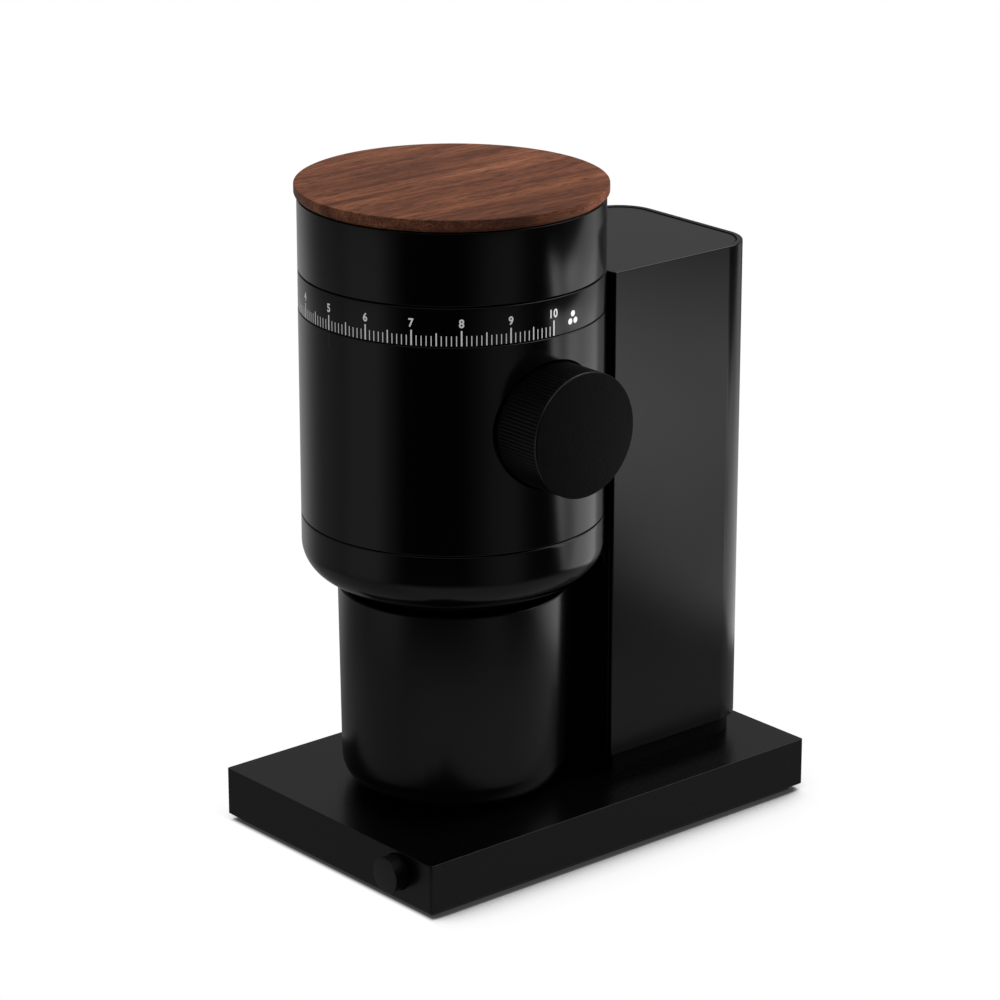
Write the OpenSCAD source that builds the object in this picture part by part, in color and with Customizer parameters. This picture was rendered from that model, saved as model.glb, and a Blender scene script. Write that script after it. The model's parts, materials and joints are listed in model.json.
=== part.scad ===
// Countertop burr coffee grinder: a drum body with a numbered setting ring, a side knob and a
// walnut lid, carried in front of a motor tower on a flat base, with a catch cup under the drum.
// +Z is up and the floor is z = 0. The base is centred on x = 0 and y = 0, and its front is at -Y.

/* [Base] */
// Width of the base plate
base_w = 130; // [128:1:136]
// Depth of the base plate
base_d = 200; // [198:1:206]
// Height of the base plate, without the mat under it
base_h = 19.8; // [19:0.2:22]
// Wall thickness of the base plate
base_wall = 3; // [2.5:0.1:3.2]
// Thickness of the rubber mat
mat_h = 3; // [2:0.5:4]
// How far the mat stands back from the base edge
mat_inset = 3.5; // [3.2:0.1:6]
// Sideways place of the start button
button_x = 44.5; // [40:0.5:45]
// Radius of the start button
button_r = 7.1; // [6.6:0.1:7.4]
// How far the start button stands out of the base
button_proud = 6.2; // [5:0.1:8]
// How far the start button travels
button_travel = 2; // [1:0.1:2.4]

/* [Tower] */
// Width of the motor tower
tower_w = 82; // [82:0.5:88]
// Front face of the tower, as a y coordinate
tower_front = 14.4; // [13.6:0.1:14.8]
// Back face of the tower, as a y coordinate
tower_back = 92.4; // [92:0.1:95]
// Radius of the tower's two back corners
tower_r = 17; // [14:0.5:18]
// Height of the shadow gap between the base and the tower shell
plinth_reveal = 7.7; // [7.2:0.1:8]
// Height of the tower shell
tower_h = 202.3; // [200:0.1:205]
// Wall thickness of the tower shell
tower_wall = 2.4; // [2:0.1:2.5]

/* [Body] */
// Distance of the drum's axis in front of the base centre
body_ahead = 34; // [33.9:0.1:34.2]
// Outer radius of the drum
body_r = 60; // [59.9:0.1:60.3]
// Wall thickness of the drum
body_wall = 2.8; // [2.4:0.1:2.9]
// Height of the drum wall between the dome and the ring
body_h = 83; // [82.8:0.1:83.2]
// Height of the rounded dome below the drum
dome_h = 25; // [24.7:0.1:25.3]
// Radius that rounds the dome into its flat underside
dome_round = 14; // [12:0.5:16]
// Free height between the cup rim and the dome
cup_gap = 4.8; // [4.6:0.1:5.4]

/* [Cup] */
// Outer radius of the cup at its rim
cup_rim_r = 46; // [45.6:0.1:46.4]
// Outer radius of the cup at its foot
cup_foot_r = 44.8; // [44:0.1:45.4]
// Height of the cup
cup_h = 84.2; // [83:0.1:85]
// Wall thickness of the cup
cup_wall = 1.6; // [1.2:0.1:2]
// Radius round the foot of the cup
cup_round = 12; // [9:0.5:14]

/* [Ring, hopper and lid] */
// Height of the numbered ring
ring_h = 14.9; // [14.6:0.1:15]
// Height of the hopper band
band_h = 28.35; // [28:0.05:29]
// Radius of the walnut lid
lid_r = 61; // [60.5:0.1:61.5]
// Thickness of the walnut lid
lid_h = 5.1; // [4.6:0.1:5.4]

/* [Setting knob] */
// Radius of the knob
knob_r = 24.7; // [23.5:0.1:24.8]
// Distance of the knob's face from the drum axis
knob_face = 78.2; // [76:0.2:80]
// Height of the knob's axis above the dome seam
knob_rise = 48.7; // [48.6:0.1:48.8]
// Teeth on the ring's crown gear
crown_teeth = 72; // [72]
// Teeth on the knob's pinion
knob_teeth = 18; // [18]

/* [Drive train] */
// Module of the spur gears
gear_m = 1.25; // [1.25]
// Teeth on the motor pinion
motor_teeth = 12; // [12]
// Teeth on the large wheel of the compound gear
wheel_teeth = 36; // [36]
// Teeth on the small wheel of the compound gear
small_teeth = 14; // [14]
// Teeth on the idler gear
idler_teeth = 26; // [26]
// Teeth on the burr gear
burr_teeth = 32; // [32]

/* [Hidden] */
$fn = 96;
eps = 0.01;

// Gaps between pieces
seam = 0.3;
run_gap = 0.05;
free_gap = 0.6;

// Heights of the main seams, from the floor up
base_top = mat_h + base_h;
shell_low = base_top + plinth_reveal;
tower_top = shell_low + tower_h;
cup_top = base_top + cup_h;
dome_low = cup_top + cup_gap;
dome_top = dome_low + dome_h;
drum_low = dome_top + 0.4;
drum_top = drum_low + body_h;
ring_low = drum_top + seam;
ring_top = ring_low + ring_h;
band_low = ring_top + 0.55;
band_top = band_low + band_h;
lid_low = band_top + seam;
lid_top = lid_low + lid_h;
drum_in = body_r - body_wall;

// Base details
base_round = 1;
plate_t = 2;
boss_r = 4;
screw_r = 1.5;
head_r = 3;
head_h = 1.6;
foot_screw_x = base_w / 2 - 9;
foot_screw_y = base_d / 2 - 10;
button_z = mat_h + base_h / 2 + 1.2;
button_flange_r = 8.5;
button_flange_t = 1.5;
button_stem_r = 3;
button_inner = -base_d / 2 + base_wall;
notch_half = button_flange_r + 0.7;
notch_d = base_wall + button_travel + 2.1;
switch_front = button_inner + 9.2;
board_z = mat_h + 6;
board_t = 1.6;
plinth_screw_x = 30;
plinth_screw_y = [30, 76];
plinth_screw_r = 2;
plinth_screw_h = 9;

// Tower details
plinth_inset = 2.6;
plinth_h = plinth_reveal + 5.5;
panel_t = 2.4;
panel_back = 0.6;
plinth_front = tower_front + panel_back + panel_t + 0.2;
cover_t = 3;
cover_drop = 0.4;
saddle_in = body_r + 0.4;
saddle_t = 2.2;
inlet_z = base_top + 27;
inlet_w = 27.4;
inlet_h = 20;
inlet_depth = 24;
inlet_wall = 1.6;
pin_w = 4;
pin_t = 2;
pin_gap = 14;

// Drive train: every gear stands on the centre plane x = 0
box_low = dome_top + 1;
box_floor = 2.5;
box_roof = 2.5;
box_wall = 1.8;
box_in_h = 18;
box_roof_low = box_low + box_floor + box_in_h;
box_top = box_roof_low + box_roof;
gear_low = box_low + box_floor + 1;
gear_h = 7;
wheel_low = gear_low + gear_h + 1;
addendum = 0.8 * gear_m;
dedendum = 1.15 * gear_m;
backlash = 0.3;
pressure = 20;
burr_y = -body_ahead;
idler_y = burr_y + gear_m * (burr_teeth + idler_teeth) / 2;
compound_y = idler_y + gear_m * (idler_teeth + small_teeth) / 2;
motor_y = compound_y + gear_m * (wheel_teeth + motor_teeth) / 2;
axle_r = 2.5;
box_half = gear_m * wheel_teeth / 2 + addendum + 0.9 + box_wall;
box_nose_r = gear_m * burr_teeth / 2 + addendum + 0.6 + box_wall;
box_back = motor_y + 14;
window_half = box_half + 0.8;

// Motor
motor_r = 27.5;
motor_can_t = 2;
motor_top = box_low - 3;
motor_can_h = 67;
motor_can_low = motor_top - motor_can_h;
motor_shaft_r = 2.5;
motor_frame_t = 2.5;
motor_frame_x = 36.9;
motor_plate_half = 22;
motor_screw_r = 1.6;
motor_screw_pitch = 20;
motor_boss_r = 9;

// Burr set
shaft_r = 4;
bearing_r = 11;
bearing_h = 7;
lower_bearing_low = box_low - 4;
housing_low = box_top;
housing_floor = 3.5;
housing_r = 45;
housing_in = 42;
housing_top = ring_top - 4.4;
upper_bearing_low = housing_low + 0.2;
sweeper_low = housing_low + housing_floor + 0.7;
sweeper_top = sweeper_low + 8;
sweeper_r = 39.5;
cone_low = sweeper_top;
cone_h = 22;
cone_foot_r = 19;
cone_head_r = 9;
cone_slope = (cone_foot_r - cone_head_r) / cone_h;
cone_flutes = 8;
ring_burr_low = cone_low + 1;
ring_burr_h = 16;
ring_burr_r = 26;
burr_flange_r = 37;
burr_flange_t = 2;
burr_play = 0.9;
carrier_low = ring_burr_low + burr_flange_t;
carrier_r = housing_in - seam;
carrier_tube = 3.2;
carrier_disc_h = 12;
burr_screw_pitch_r = 33;
pin_r = 2.5;
pin_z = ring_low - 13.6;
pin_angles = [60, 180, 300];
slot_half = 3.5;
carrier_top = pin_z + 4;

// Chute
chute_out = 31;
chute_half = 6;
chute_wall = 0.9;
chute_flange = chute_half + 2.2;
collar_low = cup_top + 0.9;
collar_r = 41;
dome_wall = 2.8;
dome_screw_x = 15;
dome_screw_y = 15;
spigot_in = body_r - body_wall - 2.6;

// Setting ring, its gear and the knob's pinion
ring_in = 55.4;
sleeve_in = 47;
sleeve_out = 51.5;
crown_in = 46.9;
crown_out = 51.3;
crown_pitch_r = (crown_in + crown_out) / 2;
knob_z = dome_top + knob_rise;
knob_pitch_r = crown_pitch_r * knob_teeth / crown_teeth;
crown_z = knob_z + knob_pitch_r;
crown_root = crown_z + 1.85;
mesh_add = 1.2;
mesh_ded = 1.6;
shelf_top = drum_top - 0.6;
shelf_h = 3.6;
recess_r = knob_r + 0.9;
recess_floor = 54;
recess_plate = 2.2;
recess_wall = 1.7;
knob_back = recess_floor + seam;
bush_r = 7.5;
knob_shaft_r = 4;
knob_hub_r = 7;
knob_wall = 3.2;
knob_shaft_end = knob_face - 8;

// Hopper and lid
throat_r = 18;
throat_low = pin_z - 3;
throat_h = 6;
cone_top = band_low + 16;
funnel_t = 1.8;
band_in = body_r - 0.1 - 2.6;
band_out = body_r - 0.1;
plug_r = band_in - 0.9;
plug_in = plug_r - 3.4;
plug_h = 7.5;
gasket_r = band_in - 0.4;
lid_bevel = 1.4;

// Colours
black = [0.05, 0.05, 0.055];
charcoal = [0.11, 0.11, 0.12];
rubber_black = [0.03, 0.03, 0.03];
steel = [0.66, 0.67, 0.70];
brass = [0.78, 0.62, 0.30];
nylon = [0.88, 0.86, 0.80];
walnut = [0.30, 0.14, 0.08];
board_green = [0.06, 0.25, 0.14];
copper = [0.62, 0.34, 0.20];
silicone = [0.32, 0.32, 0.33];

// ---------- Shared shapes ----------

// A rectangle with four rounded corners, centred on the origin
module rounded_rect(w, d, r) {
  square([w - 2 * r, d], center = true);
  square([w, d - 2 * r], center = true);
  for (sx = [-1, 1], sy = [-1, 1]) translate([sx * (w / 2 - r), sy * (d / 2 - r)]) circle(r);
}

// An upright tube
module tube(r_out, r_in, h) {
  rotate_extrude() translate([r_in, 0]) square([r_out - r_in, h]);
}

// Whatever stands on the drum's axis, at height z
module on_axis(z) {
  translate([0, -body_ahead, z]) children();
}

// Whatever lies along +X on the knob's axis, starting x away from the drum's axis
module on_knob(x) {
  translate([x, -body_ahead, knob_z]) rotate([0, 90, 0]) children();
}

// The tower's outline seen from above, drawn in by `inset`, with its front at `front`
module tower_outline(inset, front) {
  half = tower_w / 2 - inset;
  r = tower_r - inset;
  back = tower_back - inset;
  translate([-half, front]) square([2 * half, back - r - front]);
  translate([-half + r, front]) square([2 * (half - r), back - front]);
  for (sx = [-1, 1]) translate([sx * (half - r), back - r]) circle(r);
}

// A screw with its head down, its shank going up from z = 0
module screw_up(shank_r, shank_h, hat_r, hat_h) {
  cylinder(r = shank_r, h = shank_h);
  translate([0, 0, -hat_h]) cylinder(r = hat_r, h = hat_h);
}

// The involute function, in degrees
function involute(a) = tan(a) * 180 / PI - a;
// Half the angle that a tooth spans at radius r, from half its thickness on the pitch circle rp
function half_tooth(r, rp, rb, pitch_half) =
  pitch_half / rp * 180 / PI + involute(pressure) - (r > rb ? involute(acos(rb / r)) : 0);

// Outline of a spur gear: tooth_half is half a tooth's thickness on the pitch circle
module gear_outline(teeth, rp, add, ded, tooth_half) {
  rb = rp * cos(pressure);
  ra = rp + add;
  rf = rp - ded;
  rs = max(rb, rf + 0.05);
  steps = 3;
  flank = concat([rf], [for (k = [0:steps]) rs + (ra - rs) * k / steps]);
  n = len(flank) - 1;
  polygon([
    for (t = [0:teeth - 1])
      for (k = [0:2 * n + 1])
        let (
          r = k <= n ? flank[k] : flank[2 * n + 1 - k],
          side = k <= n ? -1 : 1,
          a = 360 * t / teeth + side * half_tooth(r, rp, rb, tooth_half)
        )
        r * [cos(a), sin(a)]
  ]);
}

// A spur gear of the drive train, one tooth centred on the angle `phase`
module spur_gear(teeth, h, phase) {
  rotate(phase) linear_extrude(h)
    gear_outline(teeth, gear_m * teeth / 2, addendum, dedendum, (PI * gear_m / 2 - backlash) / 2);
}

// ---------- Base ----------

module foot_screw_places() {
  for (sx = [-1, 1], sy = [-1, 0, 1]) translate([sx * foot_screw_x, sy * foot_screw_y, 0]) children();
}

module plinth_screw_places() {
  for (sx = [-1, 1], y = plinth_screw_y) translate([sx * plinth_screw_x, y, 0]) children();
}

// Hollow plate, open below, with bosses for the bottom plate
module base_housing() {
  color(black) difference() {
    union() {
      difference() {
        translate([0, 0, mat_h]) linear_extrude(base_h) rounded_rect(base_w, base_d, base_round);
        translate([-base_w / 2 + base_wall, -base_d / 2 + base_wall, 0])
          cube([base_w - 2 * base_wall, base_d - 2 * base_wall, base_top - base_wall]);
      }
      translate([0, 0, mat_h + plate_t]) foot_screw_places()
        cylinder(r = boss_r, h = base_h - plate_t - base_wall + eps);
    }
    translate([0, 0, mat_h]) foot_screw_places() cylinder(r = screw_r, h = 12);
    translate([0, 0, base_top - base_wall - 1]) plinth_screw_places()
      cylinder(r = plinth_screw_r, h = base_wall + 2);
    translate([0, 53, base_top - base_wall - 1]) cylinder(r = 8, h = base_wall + 2);
    translate([button_x, -base_d / 2 - 1, button_z]) rotate([-90, 0, 0])
      cylinder(r = button_r + seam, h = base_wall + button_travel + 2);
  }
}

module base_bottom_plate() {
  color(charcoal) difference() {
    union() {
      translate([0, 0, mat_h]) linear_extrude(plate_t)
        rounded_rect(base_w - 2 * base_wall, base_d - 2 * base_wall, 1);
      for (sx = [-1, 1], y = [-60, -10])
        translate([sx * 30, y, mat_h + plate_t - eps]) cylinder(r = 3, h = board_z - mat_h - plate_t + eps);
    }
    translate([button_x - notch_half, -base_d / 2, mat_h - 1]) cube([2 * notch_half, notch_d, plate_t + 2]);
    foot_screw_places() cylinder(r = screw_r, h = mat_h + plate_t + 1);
    translate([0, 0, mat_h - eps]) foot_screw_places() cylinder(r = head_r, h = 1 + eps);
  }
}

module foot_mat() {
  color(rubber_black) linear_extrude(mat_h)
    rounded_rect(base_w - 2 * mat_inset, base_d - 2 * mat_inset, base_round);
}

module base_screws() {
  color(steel) foot_screw_places() {
    translate([0, 0, mat_h]) cylinder(r = screw_r, h = 11.5);
    translate([0, 0, mat_h]) difference() {
      cylinder(r = head_r, h = 1);
      translate([0, 0, -eps]) cylinder(r = 1.2, h = 0.6, $fn = 6);
    }
  }
}

// A round piece along +Y on the button's axis, from y = start on
module on_button(start, r, h) {
  translate([button_x, start, button_z]) rotate([-90, 0, 0]) cylinder(r = r, h = h);
}

// Round push button with a flange behind the wall, flat on top, and a stem that reaches the switch
module start_button() {
  flange_start = button_inner + 0.3;
  color(black) {
    on_button(-base_d / 2 - button_proud, button_r, button_proud + base_wall + 0.4);
    intersection() {
      on_button(flange_start, button_flange_r, button_flange_t);
      translate([button_x - base_wall * 5, flange_start - 1, 0])
        cube([base_wall * 10, button_flange_t + 2, base_top - base_wall - 0.4]);
    }
    on_button(flange_start, button_stem_r, switch_front - button_travel - 0.6 - button_inner);
  }
}

// Points of one ring of a helix wire: i counts along the wire, j round it
function wire_point(i, j, per_turn, sides, coil_r, wire_r, pitch) =
  let (
    a = 360 * i / per_turn,
    b = 360 * j / sides,
    r = coil_r + wire_r * cos(b)
  )
  [r * cos(a), r * sin(a), pitch * i / per_turn + wire_r * sin(b)];

// A round wire wound into a helix along +Z
module helix(turns, coil_r, wire_r, pitch) {
  per_turn = 16;
  sides = 6;
  last = turns * per_turn;
  polyhedron(
    points = [
      for (i = [0:last], j = [0:sides - 1]) wire_point(i, j, per_turn, sides, coil_r, wire_r, pitch)
    ],
    faces = concat(
      [[for (j = [0:sides - 1]) j]],
      [
        for (i = [0:last - 1], j = [0:sides - 1])
          [
            i * sides + j, (i + 1) * sides + j,
            (i + 1) * sides + (j + 1) % sides, i * sides + (j + 1) % sides
          ]
      ],
      [[for (j = [sides - 1:-1:0]) last * sides + j]]
    )
  );
}

module button_spring() {
  wire_r = 0.4;
  turns = 4;
  start = button_inner + 0.3 + button_flange_t;
  span = switch_front - start - 2 * wire_r - 0.1;
  color(steel) translate([button_x, start + wire_r + 0.05, button_z]) rotate([-90, 0, 0])
    helix(turns, 5, wire_r, span / turns);
}

module button_switch() {
  color(charcoal) {
    translate([button_x - 7, switch_front, button_z - 5.5]) cube([14, 9, 11]);
    translate([button_x - 7, switch_front, mat_h + plate_t]) cube([14, 6, button_z - 5.5 - mat_h - plate_t]);
  }
  color(brass) for (dx = [-4, 0, 4])
    translate([button_x + dx - 0.5, switch_front + 9 - eps, button_z - 1.5]) cube([1, 4, 3]);
}

module control_board() {
  color(board_green) translate([-36, -68, board_z]) cube([72, 66, board_t]);
  color(charcoal) {
    translate([-30, -56, board_z + board_t - eps]) cube([14, 14, 3]);
    translate([-26, -30, board_z + board_t - eps]) cube([20, 10, 7]);
    translate([4, -34, board_z + board_t - eps]) cube([22, 22, 6.5]);
    for (x = [4, 18]) translate([x, -54, board_z + board_t - eps]) cylinder(r = 5, h = 8);
  }
}

// ---------- Tower ----------

module tower_plinth() {
  color(black) difference() {
    translate([0, 0, base_top]) linear_extrude(plinth_h) tower_outline(plinth_inset, plinth_front);
    translate([-16, 36, base_top - 1]) cube([32, 34, plinth_h + 2]);
    translate([0, 0, base_top - 1]) plinth_screw_places() cylinder(r = plinth_screw_r, h = plinth_screw_h);
  }
}

module plinth_screws() {
  color(steel) translate([0, 0, base_top - base_wall]) plinth_screw_places()
    screw_up(plinth_screw_r, base_wall + 7, 3.8, 2.2);
}

// Wrap-round casing: two sides and a back, open at the front, top and bottom
module tower_shell() {
  color(charcoal) difference() {
    translate([0, 0, shell_low]) linear_extrude(tower_h) difference() {
      tower_outline(0, tower_front);
      tower_outline(tower_wall, tower_front - 1);
    }
    translate([-inlet_w / 2, tower_back - tower_wall - 1, inlet_z - inlet_h / 2])
      cube([inlet_w, tower_wall + 2, inlet_h]);
    translate([-tower_w / 2 + 6, tower_back - 8, shell_low - 1]) cube([tower_w - 12, 9, 4.5]);
  }
}

// The hollow in the tower's front that the drum lies in
module drum_space(r, z) {
  on_axis(z) cylinder(r = r, h = tower_h);
}

// Flat front skin below, and a curved saddle behind the drum above
module tower_front_panel() {
  half = tower_w / 2 - tower_wall - free_gap;
  front = tower_front + panel_back;
  saddle_low = dome_low - 3;
  ledge_t = 2.4;
  color(black) difference() {
    union() {
      translate([-half, front, shell_low]) cube([2 * half, panel_t, tower_h - cover_t - 0.6]);
      intersection() {
        translate([-half, front, saddle_low]) cube([2 * half, 20, tower_top - cover_t - 0.6 - saddle_low]);
        drum_space(saddle_in + saddle_t, saddle_low);
      }
    }
    drum_space(saddle_in, saddle_low + ledge_t);
    translate([-window_half, front, box_low - 0.6])
      cube([2 * window_half, 20, box_top - box_low + 1.2]);
  }
}

module tower_top_cover() {
  color(charcoal) difference() {
    translate([0, 0, tower_top - cover_t - cover_drop]) linear_extrude(cover_t)
      tower_outline(tower_wall + seam, tower_front + panel_back);
    drum_space(saddle_in, tower_top - cover_t - 2);
  }
}

// Mains inlet with three flat pins in a rectangular pocket
module power_inlet() {
  mouth = tower_back - 0.2;
  color(rubber_black) difference() {
    union() {
      translate([-inlet_w / 2 + 0.1, mouth - inlet_depth, inlet_z - inlet_h / 2 + 0.1])
        cube([inlet_w - 0.2, inlet_depth, inlet_h - 0.2]);
      translate([-inlet_w / 2 - 3, tower_back - tower_wall - 2.2, inlet_z - inlet_h / 2 - 2])
        cube([inlet_w + 6, 2.1, inlet_h + 4]);
    }
    translate([-inlet_w / 2 + inlet_wall, mouth - inlet_depth + 5, inlet_z - inlet_h / 2 + inlet_wall])
      cube([inlet_w - 2 * inlet_wall, inlet_depth, inlet_h - 2 * inlet_wall]);
  }
  color(brass) {
    for (sx = [-1, 1])
      translate([sx * pin_gap / 2 - pin_t / 2, mouth - inlet_depth + 5 - eps, inlet_z])
        cube([pin_t, inlet_depth - 8, pin_w]);
    translate([-pin_t / 2, mouth - inlet_depth + 5 - eps, inlet_z - pin_w])
      cube([pin_t, inlet_depth - 8, pin_w]);
  }
}

// ---------- Motor ----------

module motor_screw_places() {
  for (a = [45:90:315])
    translate([motor_screw_pitch * cos(a), motor_y + motor_screw_pitch * sin(a), 0]) children();
}

// Bent-plate frame: feet on the plinth, two sides, and the top plate that carries the motor
module motor_frame() {
  low = base_top + plinth_h;
  color(steel) difference() {
    union() {
      for (sx = [-1, 1]) {
        translate([sx * (motor_frame_x - motor_frame_t / 2) - motor_frame_t / 2, motor_y - 19, low])
          cube([motor_frame_t, 38, motor_top - low + motor_frame_t]);
        translate([sx * (motor_frame_x - 5) - 5, motor_y - 19, low]) cube([10, 38, 2.5]);
      }
      translate([-motor_frame_x, motor_y - motor_plate_half, motor_top])
        cube([2 * motor_frame_x, 2 * motor_plate_half, box_low - motor_top]);
    }
    translate([0, motor_y, motor_top - 1]) cylinder(r = motor_boss_r, h = 5);
    translate([0, 0, motor_top - 1]) motor_screw_places() cylinder(r = motor_screw_r, h = 5);
  }
}

module motor_can() {
  color(steel) translate([0, motor_y, motor_can_low]) difference() {
    cylinder(r = motor_r, h = motor_can_h);
    translate([0, 0, -1]) cylinder(r = motor_r - motor_can_t, h = motor_can_h - 1.5);
    cylinder(r = 6, h = motor_can_h + 1);
    translate([0, -motor_y, motor_can_h - 4]) motor_screw_places() cylinder(r = motor_screw_r, h = 5);
  }
}

module motor_end_cap() {
  color(charcoal) translate([0, motor_y, motor_can_low - 5]) difference() {
    union() {
      cylinder(r = motor_r, h = 5);
      cylinder(r = motor_r - motor_can_t - 0.1, h = 8);
      translate([0, 0, -3]) cylinder(r = 9, h = 3 + eps);
    }
    translate([0, 0, 5]) cylinder(r = motor_r - motor_can_t - 2, h = 4);
    translate([0, 0, -1]) cylinder(r = motor_shaft_r + run_gap, h = 8);
  }
}

// Wound core with its commutator, fixed to the motor shaft
module motor_armature() {
  color(copper) translate([0, motor_y, motor_can_low + 10]) difference() {
    union() {
      translate([0, 0, 6]) difference() {
        cylinder(r = motor_r - 6, h = 38);
        for (a = [0:45:315]) rotate(a) translate([12, -2, -1]) cube([12, 4, 40]);
      }
      cylinder(r = 10, h = 6 + eps);
    }
    translate([0, 0, -1]) cylinder(r = motor_shaft_r, h = 50);
  }
}

module motor_shaft() {
  color(steel) translate([0, motor_y, motor_can_low - 4])
    cylinder(r = motor_shaft_r, h = wheel_low + gear_h + 0.5 - motor_can_low + 4);
}

module motor_pinion() {
  color(brass) translate([0, motor_y, wheel_low]) difference() {
    spur_gear(motor_teeth, gear_h, 0);
    translate([0, 0, -1]) cylinder(r = motor_shaft_r, h = gear_h + 2);
  }
}

// Screws from the gearbox floor, through the frame, into the motor
module motor_screws() {
  color(steel) intersection() {
    translate([0, 0, motor_top - 2]) motor_screw_places() cylinder(r = motor_screw_r, h = 5 + box_floor);
    translate([-40, motor_y - 40, 0]) cube([80, 80, box_low]);
  }
}

// ---------- Gearbox ----------

// Outline of the gearbox seen from above, drawn in by `inset`
module box_outline(inset) {
  nose_back = idler_y - gear_m * idler_teeth / 2;
  translate([0, burr_y]) circle(box_nose_r - inset);
  translate([-box_nose_r + inset, burr_y]) square([2 * (box_nose_r - inset), nose_back - burr_y + 2]);
  translate([-box_half + inset, nose_back + inset])
    square([2 * (box_half - inset), box_back - nose_back - 2 * inset]);
}

module box_screw_places() {
  for (sx = [-1, 1], y = [idler_y - 8, box_back - 3.6]) translate([sx * (box_half - 3.6), y, 0]) children();
}

module dome_screw_places() {
  for (sx = [-1, 1], sy = [-1, 1]) translate([sx * dome_screw_x, burr_y + sy * dome_screw_y, 0]) children();
}

module gearbox_case() {
  color(charcoal) difference() {
    union() {
      translate([0, 0, box_low]) linear_extrude(box_floor + box_in_h) box_outline(0);
      translate([0, burr_y, lower_bearing_low - 1]) cylinder(r = bearing_r + 2, h = 5 + eps);
    }
    difference() {
      translate([0, 0, box_low + box_floor]) linear_extrude(box_in_h + 1) box_outline(box_wall);
      translate([0, 0, box_low]) box_screw_places() cylinder(r = 3.4, h = box_in_h + 5);
    }
    translate([0, 0, box_low + box_floor]) box_screw_places() cylinder(r = screw_r, h = box_in_h + 5);
    translate([0, burr_y, lower_bearing_low]) cylinder(r = bearing_r, h = bearing_h);
    translate([0, burr_y, lower_bearing_low - 3]) cylinder(r = shaft_r + 1, h = 6);
    translate([0, motor_y, box_low - 1]) cylinder(r = motor_boss_r, h = 5);
    for (y = [idler_y, compound_y]) translate([0, y, box_low + 0.8]) cylinder(r = axle_r, h = 5);
    translate([0, 0, box_low - 1]) dome_screw_places() cylinder(r = screw_r, h = 5);
  }
}

module gearbox_cover() {
  color(charcoal) difference() {
    translate([0, 0, box_roof_low]) linear_extrude(box_roof) box_outline(0);
    translate([0, burr_y, box_roof_low - 1]) cylinder(r = shaft_r + 1.5, h = 6);
    translate([0, compound_y, box_roof_low - 1]) cylinder(r = axle_r, h = 2.2);
    translate([0, 0, box_roof_low - 1]) box_screw_places() cylinder(r = screw_r, h = 6);
    translate([0, 0, box_top - 1.2]) box_screw_places() cylinder(r = head_r, h = 3);
  }
}

module gearbox_screws() {
  color(steel) translate([0, 0, box_top - 1.2]) box_screw_places() {
    cylinder(r = head_r, h = 1.2);
    translate([0, 0, -12]) cylinder(r = screw_r, h = 12 + eps);
  }
}

module compound_gear() {
  color(nylon) translate([0, compound_y, gear_low]) difference() {
    union() {
      spur_gear(small_teeth, gear_h + 1 + eps, -90);
      translate([0, 0, gear_h + 1]) spur_gear(wheel_teeth, gear_h, 180 / wheel_teeth + 90);
    }
    translate([0, 0, -1]) cylinder(r = axle_r + run_gap, h = 2 * gear_h + 4);
  }
}

// An axle held in the gearbox floor, reaching up to `top`
module gear_axle(y, top) {
  color(steel) translate([0, y, box_low + 0.8]) cylinder(r = axle_r, h = top - box_low - 0.8);
}

module compound_axle() {
  gear_axle(compound_y, box_roof_low + 1.2);
}

// A stub axle, because the compound gear's large wheel passes over it
module idler_axle() {
  gear_axle(idler_y, wheel_low - 0.4);
}

module idler_gear() {
  color(nylon) translate([0, idler_y, gear_low]) difference() {
    spur_gear(idler_teeth, gear_h, 90 + 180 / idler_teeth);
    translate([0, 0, -1]) cylinder(r = axle_r + run_gap, h = gear_h + 2);
  }
}

module burr_gear() {
  color(nylon) translate([0, burr_y, gear_low]) difference() {
    union() {
      spur_gear(burr_teeth, gear_h, 90);
      cylinder(r = 9, h = gear_h + 6);
    }
    translate([0, 0, -1]) cylinder(r = shaft_r, h = gear_h + 8);
  }
}

// ---------- Burrs ----------

module burr_shaft() {
  low = lower_bearing_low;
  color(steel) on_axis(low) cylinder(r = shaft_r, h = cone_low + cone_h + 7 - low);
}

// A sealed ball bearing drawn as one solid race with grooved faces
module bearing(z) {
  color(steel) on_axis(z) difference() {
    cylinder(r = bearing_r, h = bearing_h);
    translate([0, 0, -1]) cylinder(r = shaft_r + 0.02, h = bearing_h + 2);
    for (end = [-0.5, bearing_h - 0.7]) translate([0, 0, end]) tube(9, 6.2, 1.2);
  }
}

module lower_bearing() {
  bearing(lower_bearing_low);
}

module upper_bearing() {
  bearing(upper_bearing_low);
}

// Fixed chamber round the burrs, with a floor, an exit and slots for the carrier pins
module burr_housing() {
  boss_r = bearing_r + 3;
  color(charcoal) on_axis(housing_low) difference() {
    union() {
      cylinder(r = housing_r, h = housing_floor);
      tube(housing_r, housing_in, housing_top - housing_low);
      cylinder(r = boss_r, h = bearing_h + 0.6);
    }
    translate([0, 0, 0.2]) cylinder(r = bearing_r, h = bearing_h + 1);
    translate([0, 0, -1]) cylinder(r = shaft_r + 1.5, h = 3);
    translate([0, 0, -1]) chute_block(chute_half, housing_floor + 2);
    for (a = pin_angles) rotate(a) translate([housing_in - 4, 0, pin_z - housing_low]) {
      translate([0, -pin_r - seam, -slot_half]) cube([8, 2 * (pin_r + seam), 2 * slot_half]);
    }
  }
}

module grounds_sweeper() {
  hub_r = bearing_r + 5;
  color(nylon) on_axis(sweeper_low) difference() {
    union() {
      translate([0, 0, 4.8]) cylinder(r = hub_r, h = sweeper_top - sweeper_low - 4.8);
      for (a = [0:120:240]) rotate(a) translate([hub_r - 1, -1.5, 0])
        cube([sweeper_r - hub_r + 1, 3, 7.6]);
    }
    translate([0, 0, -1]) cylinder(r = shaft_r, h = 12);
  }
}

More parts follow.
